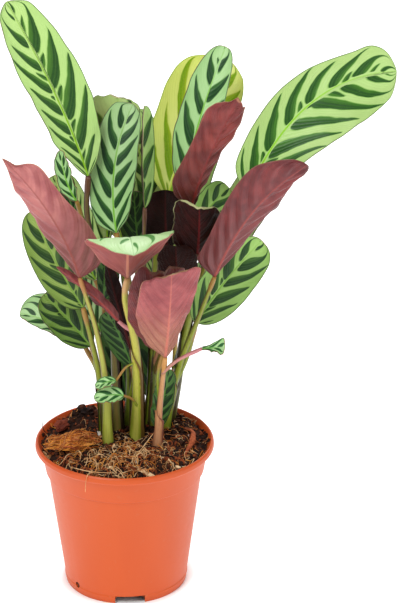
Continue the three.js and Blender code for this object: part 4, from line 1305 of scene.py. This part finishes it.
@dataclass(frozen=True)
class PotFinish:
    """Terracotta-coloured moulded plastic with a soft shine and a little dust."""

    name: str = "terracotta_plastic"
    body: Colour = srgb(206, 84, 24)
    deep: Colour = srgb(192, 72, 20)
    dust: Colour = srgb(190, 120, 84)

    SHINE = 0.4
    FLOW = (1.0, 1.0, 0.2)
    CLOUD = 0.03  # the sizes of the noises, in metres
    PEEL = 0.0009
    SCUFF = 0.004
    DUSTY_BELOW = 0.012  # metres over the floor

    def material(self) -> bpy.types.Material:
        """Builds the material from Object coordinates.

        Returns:
            The material.
        """
        sheet = NodeSheet(self.name)
        cloud = sheet.grain(self.CLOUD, 3.0, sheet.stretched(self.FLOW))
        scuff = sheet.grain(self.SCUFF, 5.0)
        colour = sheet.tint(self.body, self.deep, sheet.ease(cloud, 0.35, 0.7), 0.3)
        low = sheet.ease(sheet.parts(sheet.place())[2], self.DUSTY_BELOW, 0.002)
        dusty = sheet.times(sheet.ease(scuff, 0.6, 0.75), sheet.plus(0.12, low, 0.5))
        colour = sheet.blend(dusty, colour, self.dust)
        relief = sheet.plus(sheet.times(cloud, 0.5), sheet.grain(self.PEEL), 0.5)
        return sheet.coat(colour, sheet.between(scuff, 0.36, 0.52), sheet.bump(relief, 0.00005), self.SHINE)


# A dark copy of the pot's plastic: painted shade for the inner wall below the soil, the underside of the foot
# over the notches and the inside of the blind hole.
SHADED_PLASTIC = PotFinish("pot_painted_shade", srgb(110, 60, 40), srgb(84, 44, 30), srgb(74, 46, 34))


@dataclass(frozen=True)
class Pot:
    """The tapered nursery pot, in millimetres: a turned wall with a rolled rim and a notched foot ring."""

    outline: tuple[tuple[float, float], ...] = (  # radius and height, up the outside and down the inside
        (0, 0), (19, 0), (20, 5), (36, 5), (37, 0), (41, 0), (41.9, 5), (41.5, 5.6), (51.6, 81.5),
        (53.2, 82.5), (56, 98.5), (59.2, 98.5), (60, 99.7), (59.7, 102.3), (58.7, 103.5), (58.1, 103.5),
        (57.5, 102.7), (54.5, 97.5), (50.1, 81.5), (40.4, 6.5), (18, 6.5), (17, 1.5), (0, 1.5),
    )
    steps: int = 168
    edge_radius: float = 0.3
    edge_angle: float = 18.0
    notches: int = 3
    notch_size: Triple = (20.0, 11.0, 5.6)
    notch_circle: float = 41.0
    first_notch: float = 5.0
    holes: int = 6
    hole_radius: float = 3.5
    hole_circle: float = 28.5
    gate_turn: float = -140.4  # where the small blind hole in the foot is
    gate_height: float = 6.4
    gate_radius: float = 2.1
    gate_circle: float = 41.6
    # Below this height the inner wall takes the painted shade.
    shade_top: float = 90.0

    SMOOTH_BELOW = 35.0  # degrees between faces

    def gate_centre(self) -> Vector:
        """The middle of the blind hole's mouth.

        Returns:
            The point in millimetres.
        """
        turn = math.radians(self.gate_turn)
        x, y = self.gate_circle * math.cos(turn), self.gate_circle * math.sin(turn)
        return Vector((x, y, self.gate_height))

    def wall(self) -> bmesh.types.BMesh:
        """The turned wall with its sharp edges rounded.

        Returns:
            The wall.
        """
        wall = bmesh.new()
        last = None
        for radius, height in self.outline:
            vert = wall.verts.new((radius * MM, 0, height * MM))
            if last:
                wall.edges.new((last, vert))
            last = vert
        profile = list(wall.verts) + list(wall.edges)
        bmesh.ops.spin(wall, geom=profile, axis=(0, 0, 1), cent=(0, 0, 0), dvec=(0, 0, 0), angle=2 * math.pi,
                       steps=self.steps, use_merge=True)
        bmesh.ops.remove_doubles(wall, verts=wall.verts, dist=TINY)
        bmesh.ops.recalc_face_normals(wall, faces=wall.faces)
        limit = math.radians(self.edge_angle)
        sharp = [edge for edge in wall.edges if edge.is_manifold and edge.calc_face_angle() > limit]
        bmesh.ops.bevel(wall, geom=sharp, offset=self.edge_radius * MM, affect="EDGES", segments=3,
                        profile=0.5, material=-1, clamp_overlap=True)
        return wall

    def cutters(self) -> bmesh.types.BMesh:
        """The blocks and pins that open the notches, the drain holes and the blind hole.

        Returns:
            The tools.
        """
        tools = bmesh.new()
        width, depth, height = (size * MM for size in self.notch_size)
        for i in range(self.notches):
            turn = Matrix.Rotation(math.radians(self.first_notch + 360 / self.notches * i), 4, "Z")
            size = Matrix.Diagonal((width, depth, 2 * height, 1))
            place = turn @ Matrix.Translation((0, -self.notch_circle * MM, 0)) @ size
            bmesh.ops.create_cube(tools, size=1, matrix=place)
        for i in range(self.holes):
            turn = Matrix.Rotation(math.radians(self.first_notch + 360 / self.holes * (i + 0.5)), 4, "Z")
            place = turn @ Matrix.Translation((0, -self.hole_circle * MM, 5 * MM))
            bmesh.ops.create_cone(tools, cap_ends=True, segments=32, radius1=self.hole_radius * MM,
                                  radius2=self.hole_radius * MM, depth=12 * MM, matrix=place)
        radius = self.gate_radius * MM
        turn = Matrix.Rotation(math.radians(self.gate_turn), 4, "Z")
        out = Matrix.Translation((self.gate_circle * MM, 0, self.gate_height * MM))
        place = turn @ out @ Matrix.Rotation(math.pi / 2, 4, "Y")
        bmesh.ops.create_cone(tools, cap_ends=True, segments=20, radius1=radius, radius2=radius, depth=2 * MM,
                              matrix=place)
        return tools

    def build(self) -> bpy.types.Object:
        """Makes the pot.

        Returns:
            The pot's object.
        """
        made = finished("nursery_pot", self.wall(), [PotFinish().material(), SHADED_PLASTIC.material()])
        tool = finished("pot_cutters", self.cutters(), [])
        cut = made.modifiers.new("openings", "BOOLEAN")
        cut.operation = "DIFFERENCE"
        cut.solver = "EXACT"
        cut.object = tool
        applied(made)
        bpy.data.objects.remove(tool)
        made.data.set_sharp_from_angle(angle=math.radians(self.SMOOTH_BELOW))
        # Faces of the inner wall below the given height, under the foot over the notches and inside the blind
        # hole take the second slot, the painted shade.
        for face in made.data.polygons:
            outward = face.center.x * face.normal.x + face.center.y * face.normal.y
            inside = face.center.z < self.shade_top * MM and outward < -0.2 * face.center.xy.length
            below = 1 * MM < face.center.z < self.notch_size[2] * MM and face.normal.z < -0.5
            gate = (face.center - self.gate_centre() * MM).length < 1.05 * self.gate_radius * MM
            sunk = gate and face.center.xy.length < (self.gate_circle - 0.4) * MM
            face.material_index = int(inside or below or sunk)
        return settle(made, "pot", "pot")


# ---- soil and bark -------------------


@dataclass(frozen=True)
class EarthFinish:
    """Loose matter on top of the pot: two shades and a rough surface."""

    name: str
    dark: Colour
    light: Colour
    grain: float = 0.002
    depth: float = 0.0004
    rough: float = 0.9

    SHINE = 0.25
    PATCH = 5  # how many clumps lie across a patch

    def material(self) -> bpy.types.Material:
        """Builds the material from Object coordinates.

        Returns:
            The material.
        """
        sheet = NodeSheet(self.name)
        clumps = sheet.grain(self.grain, 4.0)
        patch = sheet.grain(self.grain * self.PATCH)
        share = sheet.plus(sheet.times(clumps, 0.4), patch, 0.6)
        colour = sheet.blend(sheet.ease(share, 0.36, 0.62), self.dark, self.light)
        return sheet.coat(colour, self.rough, sheet.bump(clumps, self.depth), self.SHINE)


class Earth(Enum):
    """The kinds of loose matter."""

    PEAT = EarthFinish("earth_peat", srgb(24, 13, 9), srgb(62, 34, 21))
    CRUMB = EarthFinish("earth_crumb", srgb(32, 17, 11), srgb(82, 43, 25), 0.0015)
    RUST = EarthFinish("earth_rust", srgb(104, 46, 22), srgb(152, 76, 38), 0.0012)
    BLACK = EarthFinish("earth_black", srgb(18, 11, 9), srgb(48, 28, 20), 0.0014)
    PERLITE = EarthFinish("earth_perlite", srgb(196, 186, 170), srgb(240, 234, 222), 0.001, 0.0002)
    CREAM = EarthFinish("earth_cream", srgb(206, 158, 108), srgb(244, 218, 172), 0.0014, 0.0002)
    CHIP = EarthFinish("bark_maroon", srgb(88, 34, 22), srgb(140, 66, 44), 0.0016)
    CURL = EarthFinish("bark_cinnamon", srgb(132, 58, 32), srgb(186, 98, 58), 0.0016)
    HUSK = EarthFinish("bark_husk", srgb(116, 52, 16), srgb(198, 110, 38), 0.0012)
    STRAND = EarthFinish("fibre_tan", srgb(158, 86, 38), srgb(206, 138, 76), 0.0016, 0.0001, 0.65)
    STRAND_RED = EarthFinish("fibre_red", srgb(142, 66, 32), srgb(196, 106, 54), 0.0016, 0.0001, 0.65)
    STRAND_GOLD = EarthFinish("fibre_gold", srgb(202, 114, 28), srgb(238, 164, 68), 0.0016, 0.0001, 0.6)
    STRAND_PALE = EarthFinish("fibre_pale", srgb(204, 148, 92), srgb(244, 208, 156), 0.0016, 0.0001, 0.65)
    STRAND_DARK = EarthFinish("fibre_dark", srgb(40, 22, 16), srgb(86, 48, 32), 0.0016, 0.0001, 0.7)


# The soil's smooth surface, in millimetres
SOIL_EDGE = 98.5
SOIL_CROWN = 101.5
SOIL_RADIUS = 57.5
# The pot's sloping collar, which the soil's edge lies on: a radius, the height there, and the rise for each
# millimetre outwards
COLLAR_RADIUS = 54.5
COLLAR_HEIGHT = 97.5
COLLAR_SLOPE = 1.74
COLLAR_CLEARANCE = 0.3
# Places x and y, heights and widths of the heaps on the soil
HEAPS = (
    (-27, 36, 5.5, 9), (-36, 26, 2.5, 9), (36, 30, 3.5, 12), (2, 44, 3.0, 13), (-30, -14, 2.0, 12),
    (6, -34, 2.6, 13), (30, -26, 2.2, 12), (44, 6, 1.6, 9),
)
# Places x and y and sizes of the lumps of peat and bark
LUMPS = (
    (-30, 36, 4.2), (-24, 38, 3.6), (-34, 31, 3.0), (-20, 34, 2.8), (-27, 32, 3.4), (-16, 40, 2.2),
    (38, 33, 2.6), (33, 37, 2.2), (-12, 46, 2.0), (12, 46, 2.4), (26, 44, 2.0), (-44, -26, 2.4),
    (-47, -6, 2.0), (10, -20, 2.6), (-2, -16, 2.4), (24, -38, 2.2), (44, -22, 2.0),
)
# Kinds, places x and y and sizes of the pale chips
CHIPS = (
    (Earth.PERLITE, -17, 8, (1.9, 1.6, 1.8)), (Earth.CREAM, 18, -49, (4.6, 1.5, 0.9)),
    (Earth.CREAM, 13, -47, (2.0, 1.4, 0.7)), (Earth.CREAM, -8, -42, (1.6, 1.2, 0.8)),
    (Earth.CREAM, 36, -38, (1.8, 1.2, 0.8)), (Earth.CREAM, -6, -14, (1.6, 1.3, 0.8)),
)
# Kinds, routes and radii of the fibres that stand out. The first hangs over the front of the rim.
FIBRES = (
    (Earth.STRAND_PALE, ((-13, -45, 102.4), (-18, -52, 105.4), (-22.5, -55.3, 104.8), (-24, -56.6, 99),
                         (-24.4, -56.4, 92.5)), 0.2),
    (Earth.STRAND_DARK, ((-52, 12, 100), (-55, 9, 106), (-56, 12, 112)), 0.3),
    (Earth.STRAND_PALE, ((20, -8, 112), (10, -26, 106), (2, -44, 102.5)), 0.42),
    (Earth.STRAND_PALE, ((-34, -44, 104.3), (-20, -52, 105), (-4, -50, 103)), 0.3),
    (Earth.STRAND, ((4, -46, 102), (18, -52, 107), (22, -44, 102)), 0.3),
)


def soil_height(x: float, y: float) -> float:
    """The height of the soil's smooth surface, in millimetres."""
    return SOIL_CROWN - (SOIL_CROWN - SOIL_EDGE) * (x * x + y * y) / SOIL_RADIUS**2


def heap_height(x: float, y: float) -> float:
    """How high the lumpy soil is, which is never below the pot's sloping collar.

    Args:
        x: The place across, in millimetres.
        y: The place from front to back, in millimetres.

    Returns:
        The height in millimetres.
    """
    raised = sum(
        rise * math.exp(-((x - middle_x) ** 2 + (y - middle_y) ** 2) / (2 * width * width))
        for middle_x, middle_y, rise, width in HEAPS
    )
    lumps = 1.5 * noise.noise(Vector((x, y, 3.0)) / 7) + 0.9 * noise.noise(Vector((x, y, 9.0)) / 2.6)
    reach = math.hypot(x, y)
    height = soil_height(x, y) + (raised + lumps) * mix(0.3, 1.0, ease(SOIL_RADIUS - reach, 1.0, 9.0))
    if reach <= COLLAR_RADIUS - COLLAR_CLEARANCE:
        return height
    return max(height, COLLAR_HEIGHT + (reach - COLLAR_RADIUS) * COLLAR_SLOPE + COLLAR_CLEARANCE)


def unit_ball(subdivisions: int) -> bpy.types.Mesh:
    """A faceted ball of radius 1 that lumps are cut from.

    Args:
        subdivisions: How often its faces are split.

    Returns:
        The ball.
    """
    ball = bmesh.new()
    bmesh.ops.create_icosphere(ball, subdivisions=subdivisions, radius=1.0)
    mesh = bpy.data.meshes.new("unit_ball")
    ball.to_mesh(mesh)
    ball.free()
    return mesh


def unit_strand(rings: int) -> bpy.types.Mesh:
    """A closed four-sided strand of radius 1 along +Z from 0 to 1.

    Args:
        rings: How many steps it has.

    Returns:
        The strand.
    """
    strand = bmesh.new()
    bmesh.ops.create_grid(strand, x_segments=4, y_segments=rings, size=0.5)
    for vert in strand.verts:
        turn = 2 * math.pi * vert.co.x
        vert.co = (math.cos(turn), math.sin(turn), vert.co.y + 0.5)
    bmesh.ops.remove_doubles(strand, verts=strand.verts, dist=1e-4)
    bmesh.ops.holes_fill(strand, edges=strand.edges, sides=0)
    bmesh.ops.recalc_face_normals(strand, faces=strand.faces)
    mesh = bpy.data.meshes.new("unit_strand")
    strand.to_mesh(mesh)
    strand.free()
    return mesh


class Bed:
    """A bmesh that copies of unit meshes are added to."""

    STRAND_RINGS = 12
    NEARLY_UP = (0.13, 0.2, 0.97)  # a direction that no strand takes

    def __init__(self, kinds: tuple[Earth, ...], materials: dict) -> None:
        """Starts an empty bed.

        Args:
            kinds: The kinds of matter in it, in the order of its material slots.
            materials: The materials of all kinds.
        """
        self.kinds = kinds
        self.materials = [materials[kind] for kind in kinds]
        self.bed = bmesh.new()
        self.ball = unit_ball(1)
        self.fine_ball = unit_ball(2)
        self.strand_mesh = unit_strand(self.STRAND_RINGS)

    def copy(self, mesh: bpy.types.Mesh, kind: Earth) -> list:
        """Adds a copy of a mesh.

        Args:
            mesh: The mesh.
            kind: What it is made of.

        Returns:
            The copy's vertices.
        """
        verts, faces = len(self.bed.verts), len(self.bed.faces)
        self.bed.from_mesh(mesh, face_normals=False, vertex_normals=False)
        self.bed.verts.ensure_lookup_table()
        self.bed.faces.ensure_lookup_table()
        for face in self.bed.faces[faces:]:
            face.material_index = self.kinds.index(kind)
        return self.bed.verts[verts:]

    def lump(self, kind: Earth, centre: Triple, size: Triple, turn: Triple, rough: float = 0.45,
             mesh: bpy.types.Mesh | None = None, pitch: float = 1.3) -> None:
        """Adds an irregular lump.

        Args:
            kind: What it is made of.
            centre: Its middle in millimetres.
            size: Its half lengths in millimetres.
            turn: Its turn about X, Y and Z in radians.
            rough: How far its surface strays, as a share of its size.
            mesh: The ball it is cut from, or None for the plainest one.
            pitch: How finely the surface strays.
        """
        turned = Euler(turn).to_matrix()
        offset = Vector((centre[0], centre[1], turn[2])) * 3.1
        for vert in self.copy(mesh or self.ball, kind):
            coarse = noise.noise(vert.co * pitch + offset)
            fine = noise.noise(vert.co * 4 * pitch + offset)
            stray = 1 + rough * coarse + 0.4 * rough * fine
            shape = Vector(each * half for each, half in zip(vert.co, size)) * stray
            vert.co = (Vector(centre) + turned @ shape) * MM

    def strand(self, kind: Earth, points: list[Vector], radius: float) -> None:
        """Adds a strand along some points.

        Args:
            kind: What it is made of.
            points: One point more than it has rings, in millimetres.
            radius: Its radius in the middle, in millimetres.
        """
        last = len(points) - 1
        for vert in self.copy(self.strand_mesh, kind):
            at = round(vert.co.z * last)
            along = (points[min(at + 1, last)] - points[max(at - 1, 0)]).normalized()
            side = along.cross(Vector(self.NEARLY_UP)).normalized()
            thick = radius * (0.45 + 0.55 * math.sin(math.pi * (0.1 + 0.8 * at / last)))
            vert.co = (points[at] + (side * vert.co.x + along.cross(side) * vert.co.y) * thick) * MM

    def lay(self, name: str, slot: str, *nodes: str, smooth: bool = False) -> bpy.types.Object:
        """Ends the bed as an object of the plant.

        Args:
            name: The object's name.
            slot: The material slot of the record.
            *nodes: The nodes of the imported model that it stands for.
            smooth: Whether it is shaded smooth.

        Returns:
            The object.
        """
        return settle(finished(name, self.bed, self.materials, smooth), slot, *nodes)


@dataclass(frozen=True)
class Soil:
    """The potting mix: a solid with a lumpy top, and the crumbs, perlite and coir strands strewn on it."""

    spokes: int = 160
    rings: int = 60
    edge: float = 55.3
    below: tuple[tuple[float, float], ...] = (  # radius and height, down the wall and in to the axis
        (54.6, 98.2), (54.0, 97.0), (49.7, 81.8), (39.8, 7.3), (0.0, 7.3),
    )
    crumbs: int = 2300
    strands: int = 740
    pale_strands: int = 36
    tufts: int = 110
    perlites: int = 26
    seed: int = 11

    STRAND_REACH = 56.5  # where a strand that runs outwards is pulled back, and by how much at each step
    PULL_BACK = 0.965

    def body(self, materials: dict) -> None:
        """Makes the solid of potting mix: a grid wrapped round the axis and closed at the pot's floor.

        Args:
            materials: The materials of all kinds.
        """
        body = bmesh.new()
        rows = self.rings + len(self.below)
        bmesh.ops.create_grid(body, x_segments=self.spokes, y_segments=rows, size=0.5)
        for vert in body.verts:
            row = round((vert.co.y + 0.5) * rows)
            turn = 2 * math.pi * vert.co.x
            if row > self.rings:
                reach, height = self.below[row - self.rings - 1]
            else:
                reach, height = self.edge * (row / self.rings) ** 0.8, None
            x, y = reach * math.cos(turn), reach * math.sin(turn)
            vert.co = Vector((x, y, heap_height(x, y) if height is None else height)) * MM
        bmesh.ops.remove_doubles(body, verts=body.verts, dist=1e-5)
        bmesh.ops.recalc_face_normals(body, faces=body.faces)
        settle(finished("soil_body", body, [materials[Earth.PEAT]]), "soil", "soil")

    def spot(self, chance: random.Random, reach: float = 56.0) -> tuple[float, float]:
        """A random place on the soil."""
        turn, out = chance.uniform(-math.pi, math.pi), reach * chance.random() ** 0.5
        return out * math.cos(turn), out * math.sin(turn)

    def strew_crumbs(self, materials: dict) -> None:
        """Strews crumbs of peat and bark, larger lumps at the back, perlite and a few pale chips.

        Args:
            materials: The materials of all kinds.
        """
        chance = random.Random(self.seed)
        bed = Bed((Earth.PEAT, Earth.CRUMB, Earth.RUST, Earth.BLACK, Earth.PERLITE, Earth.CREAM), materials)
        kinds = (Earth.PEAT, Earth.CRUMB, Earth.CRUMB, Earth.RUST, Earth.BLACK, Earth.BLACK)
        for _ in range(self.crumbs):
            x, y = self.spot(chance)
            size = 0.45 + 1.3 * chance.random() ** 2.6
            shape = tuple(size * chance.uniform(0.6, 1.5) for _ in range(3))
            turn = tuple(chance.uniform(0, 6.3) for _ in range(3))
            height = heap_height(x, y) + size * chance.uniform(-0.2, 0.8)
            bed.lump(chance.choice(kinds), (x, y, height), shape, turn, 0.9)
        for x, y, size in LUMPS:
            shape = tuple(size * chance.uniform(0.7, 1.25) for _ in range(3))
            turn = tuple(chance.uniform(0, 6.3) for _ in range(3))
            kind = chance.choice((Earth.BLACK, Earth.CRUMB, Earth.PEAT))
            bed.lump(kind, (x, y, heap_height(x, y) + 0.25 * size), shape, turn, 0.7, bed.fine_ball, 1.7)
        for _ in range(self.perlites):
            x, y = self.spot(chance)
            size = chance.uniform(0.4, 0.9)
            height = heap_height(x, y) + 0.7 * size
            bed.lump(Earth.PERLITE, (x, y, height), (size, size, size), (0, 0, x), 0.6)
        for kind, x, y, size in CHIPS:
            bed.lump(kind, (x, y, heap_height(x, y) + 1.6), size, (0.2, 0.25, -0.4), 0.5, bed.fine_ball)
        bed.lay("soil_crumbs", "soil")

    def curly(self, chance: random.Random, x: float, y: float, length: float, curl: float,
              arch: float) -> list[Vector]:
        """A curly path over the soil.

        Args:
            chance: The source of random numbers.
            x: Where it starts.
            y: Where it starts.
            length: Its length in millimetres.
            curl: How many turns it may take.
            arch: How high it rises over the soil in the middle.

        Returns:
            Its points.
        """
        heading = chance.uniform(0, 2 * math.pi)
        rate, sway, phase = chance.uniform(-curl, curl), chance.uniform(0, 1.6), chance.uniform(0, 6.3)
        points = []
        steps = Bed.STRAND_RINGS
        for i in range(steps + 1):
            share = i / steps
            lift = arch * math.sin(math.pi * share) ** 1.3
            points.append(Vector((x, y, heap_height(x, y) + 0.2 + lift + 0.5 * math.sin(7 * share + phase))))
            turn = heading + 2 * math.pi * rate * share + sway * math.sin(5 * share + phase)
            x, y = x + math.cos(turn) * length / steps, y + math.sin(turn) * length / steps
            if math.hypot(x, y) > self.STRAND_REACH:
                x, y = x * self.PULL_BACK, y * self.PULL_BACK
        return points

    def strew_strands(self, materials: dict) -> None:
        """Strews coir strands, thick on the near half and thin on the rest, and a few long fibres.

        Args:
            materials: The materials of all kinds.
        """
        chance = random.Random(self.seed + 1)
        kinds = (Earth.STRAND, Earth.STRAND, Earth.STRAND_RED, Earth.STRAND_RED, Earth.STRAND_GOLD,
                 Earth.STRAND_PALE, Earth.STRAND_PALE, Earth.STRAND_DARK, Earth.STRAND_DARK)
        bed = Bed(tuple(dict.fromkeys(kinds)), materials)
        for _ in range(self.strands):
            x, y = self.spot(chance)
            if chance.random() < 0.45 and y > 6:
                x, y = 0.8 * x, -y
            points = self.curly(chance, x, y, chance.uniform(4, 18), 1.1, 0.2 + 4.2 * chance.random() ** 2)
            bed.strand(chance.choice(kinds), points, chance.uniform(0.1, 0.3))
        for _ in range(self.pale_strands):
            x, y = self.spot(chance, 30)
            points = self.curly(chance, x, y - 20, chance.uniform(10, 30), 0.35, chance.uniform(1, 4))
            bed.strand(Earth.STRAND_PALE, points, chance.uniform(0.16, 0.3))
        fluff = (Earth.STRAND, Earth.STRAND_PALE, Earth.STRAND_PALE, Earth.STRAND_GOLD)
        for _ in range(self.tufts):
            x, y = chance.gauss(0, 17), chance.gauss(-33, 6.5)
            points = self.curly(chance, x, y, chance.uniform(5, 13), 0.7, chance.uniform(1, 5))
            bed.strand(chance.choice(fluff), points, chance.uniform(0.2, 0.36))
        for kind, route, radius in FIBRES:
            bed.strand(kind, self.line(route), radius)
        bed.lay("coir_strands", "soil", smooth=True)

    def line(self, points: tuple[Triple, ...]) -> list[Vector]:
        """A strand's points along a curve through some given ones."""
        given = [Vector(point) for point in points]
        return [through_points(given, i / Bed.STRAND_RINGS) for i in range(Bed.STRAND_RINGS + 1)]

    def build(self, materials: dict) -> None:
        """Makes the soil and all that lies loose on it.

        Args:
            materials: The materials of all kinds.
        """
        self.body(materials)
        self.strew_crumbs(materials)
        self.strew_strands(materials)


@dataclass(frozen=True)
class HuskChunk:
    """A torn piece of coconut husk: a rough core wrapped in strands that run its length. In millimetres."""

    at: Triple = (-35.0, -13.0, 107.0)
    size: Triple = (14.0, 8.0, 3.6)
    core: float = 0.8
    turn: float = 20.0
    strands: int = 420
    loose: int = 90
    seed: int = 5

    def build(self, materials: dict) -> None:
        """Makes the chunk.

        Args:
            materials: The materials of all kinds.
        """
        chance = random.Random(self.seed)
        kinds = (Earth.STRAND_GOLD, Earth.STRAND_GOLD, Earth.STRAND_RED, Earth.STRAND, Earth.HUSK)
        bed = Bed((Earth.HUSK, Earth.STRAND_GOLD, Earth.STRAND_RED, Earth.STRAND), materials)
        turned = Matrix.Rotation(math.radians(self.turn), 3, "Z")
        core = tuple(self.core * size for size in self.size)
        bed.lump(Earth.HUSK, self.at, core, (0, 0.07, math.radians(self.turn)), 0.6, unit_ball(4), 1.6)
        for number in range(self.strands + self.loose):
            stray = 2.6 if number >= self.strands else 1.0
            angle, middle = chance.uniform(-0.4, math.pi + 0.4), chance.uniform(-0.75, 0.75)
            half, bow = chance.uniform(0.25, 0.7), stray * chance.uniform(-0.2, 0.3)
            drift = stray * chance.uniform(-0.8, 0.8)
            points = []
            for i in range(Bed.STRAND_RINGS + 1):
                share = 2 * i / Bed.STRAND_RINGS - 1
                x = middle + half * share
                shrink = max(0.12, 1 - x * x) ** 0.5
                turn = angle + drift * share + 0.12 * math.sin(5 * share + middle * 9)
                out = 0.95 + bow * (1 - share * share) + 0.3 * noise.noise(Vector((x * 3, turn * 2, middle)))
                local = Vector((x * self.size[0], shrink * self.size[1] * math.cos(turn),
                                shrink * self.size[2] * math.sin(turn))) * out
                points.append(Vector(self.at) + turned @ local)
            bed.strand(chance.choice(kinds), points, chance.uniform(0.12, 0.36))
        bed.lay("husk_piece", "bark", "husk_chunk", smooth=True)


@dataclass(frozen=True)
class BarkChip:
    """A small dark chip of bark, in millimetres."""

    at: Triple = (-43.0, 17.0, 104.6)
    size: Triple = (6.2, 4.2, 2.6)
    turn: float = 70.0

    def build(self, materials: dict) -> None:
        """Makes the chip.

        Args:
            materials: The materials of all kinds.
        """
        bed = Bed((Earth.CHIP,), materials)
        turn = (0.1, -0.17, math.radians(self.turn))
        bed.lump(Earth.CHIP, self.at, self.size, turn, 0.55, unit_ball(3), 1.5)
        bed.lay("bark_chip_piece", "bark", "bark_chip")


@dataclass(frozen=True)
class BarkCurl:
    """A bowed strip of bark that leans on the soil, in millimetres."""

    points: tuple[Triple, ...] = ((41, 16, 103.5), (46.5, 6, 106), (46, -8, 106), (41, -22, 102.5))
    lean: Triple = (0.75, 0, 0.66)  # the way its outer face looks
    width: float = 4.6
    thickness: float = 1.1
    steps: int = 36

    SMOOTH_BELOW = 40.0  # degrees between faces

    def build(self, materials: dict) -> None:
        """Makes the strip: a grid laid along a curve and given its thickness.

        Args:
            materials: The materials of all kinds.
        """
        strip = bmesh.new()
        bmesh.ops.create_grid(strip, x_segments=8, y_segments=self.steps, size=0.5)
        points = [Vector(point) for point in self.points]
        for vert in strip.verts:
            share, across = vert.co.y + 0.5, 2 * vert.co.x
            centre = through_points(points, share)
            if share < 0.97:
                along = (through_points(points, min(share + 0.02, 1.0)) - centre).normalized()
            else:
                along = (centre - through_points(points, share - 0.02)).normalized()
            side = along.cross(Vector(self.lean)).normalized()
            up = side.cross(along)
            taper = math.sin(math.pi * (0.12 + 0.76 * share)) + 0.25 * noise.noise(centre / 3 + side)
            half = self.width / 2 * taper
            dent = 0.5 * noise.noise(centre / 2.5 + side * across * 2)
            vert.co = (centre + side * half * across - up * (0.9 * across * across - dent)) * MM
        bmesh.ops.recalc_face_normals(strip, faces=strip.faces)
        bmesh.ops.solidify(strip, geom=list(strip.faces), thickness=self.thickness * MM)
        bmesh.ops.recalc_face_normals(strip, faces=strip.faces)
        made = finished("bark_curl_piece", strip, [materials[Earth.CURL]])
        made.data.set_sharp_from_angle(angle=math.radians(self.SMOOTH_BELOW))
        settle(made, "bark", "bark_curl")


class Ground:
    """All that fills the pot."""

    def build(self) -> None:
        """Makes the materials once and then the soil and the bark."""
        materials = {each: each.value.material() for each in Earth}
        for piece in (Soil(), HuskChunk(), BarkChip(), BarkCurl()):
            piece.build(materials)


# ---- studio --------------------------


@dataclass(frozen=True)
class Studio:
    """A pale floor, soft light and the camera."""

    pitch: float = 23.58  # degrees that the camera looks down
    place: Triple = (0.0505, -1.6109, 0.9067)
    focal_px: float = 2682.0
    frame_px: tuple[int, int] = (400, 603)
    sensor: float = 36.0
    aim: Triple = (0.03, 0.0, 0.2)  # what the lights look at
    floor: float = 8.0
    floor_glow: float = 0.6
    lit_from: tuple[float, float] = (0.038, 0.05)  # how far from the pot's axis the floor's glow starts and reaches full strength. The glow is painted light, which also lights the pot from below; the floor within it, which does not glow, is a painted shadow round and under the pot's foot
    paper: Colour = (0.93, 0.93, 0.93, 1.0)
    white: Colour = (1.0, 1.0, 1.0, 1.0)
    daylight: float = 0.42

    def add_camera(self) -> None:
        """Sets the scene's camera."""
        data = bpy.data.cameras.new("camera")
        data.sensor_width = self.sensor
        data.lens = self.focal_px / max(self.frame_px) * self.sensor
        data.clip_end = 50.0
        camera = bpy.data.objects.new("camera", data)
        camera.location = self.place
        camera.rotation_euler = (math.radians(90 - self.pitch), 0, 0)
        bpy.context.scene.collection.objects.link(camera)
        bpy.context.scene.camera = camera

    def add_floor(self) -> None:
        """Adds the floor, whose glow is painted light, left out round and under the pot's foot as a painted
        shadow.
        """
        sheet = NodeSheet("floor_paper")
        away = sheet.node("VectorMath", {0: sheet.place()}, operation="LENGTH").outputs["Value"]
        shader = sheet.node("BsdfPrincipled", {
            "Base Color": self.paper,
            "Roughness": 0.9,
            "Emission Color": self.white,
            "Emission Strength": sheet.times(sheet.ease(away, *self.lit_from), self.floor_glow),
        })
        plane = bmesh.new()
        bmesh.ops.create_grid(plane, x_segments=1, y_segments=1, size=self.floor / 2)
        floor = finished("floor", plane, [sheet.finish(shader.outputs[0])])

    def add_light(self, name: str, place: Triple, size: float, power: float) -> None:
        """Adds a square soft light that looks at the plant's middle.

        Args:
            name: The light's name.
            place: Where it hangs.
            size: The length of its side.
            power: Its power in watts.
        """
        data = bpy.data.lights.new(name, "AREA")
        data.size = size
        data.energy = power
        lamp = bpy.data.objects.new(name, data)
        lamp.location = place
        lamp.rotation_euler = (Vector(self.aim) - Vector(place)).to_track_quat("-Z", "Y").to_euler()
        bpy.context.scene.collection.objects.link(lamp)

    def build(self) -> None:
        """Sets the whole studio."""
        self.add_camera()
        self.add_floor()
        self.add_light("key", (-1.0, -1.5, 2.2), 0.9, 36.0)
        self.add_light("fill", (1.9, -1.3, 1.2), 1.2, 12.0)
        self.add_light("back", (0.4, 1.6, 1.6), 1.0, 18.0)
        world = bpy.data.worlds.new("studio")
        world.use_nodes = True
        sky = world.node_tree.nodes["Background"]
        sky.inputs["Color"].default_value = self.white
        sky.inputs["Strength"].default_value = self.daylight
        bpy.context.scene.world = world
        bpy.context.scene.view_settings.view_transform = "Standard"


def main() -> None:
    """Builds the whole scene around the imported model."""
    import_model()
    Studio().build()
    LOG.info("studio set")
    Pot().build()
    Ground().build()
    Canes().build()
    Foliage().build()


if __name__ == "__main__":
    logging.basicConfig(level=logging.INFO)
    main()
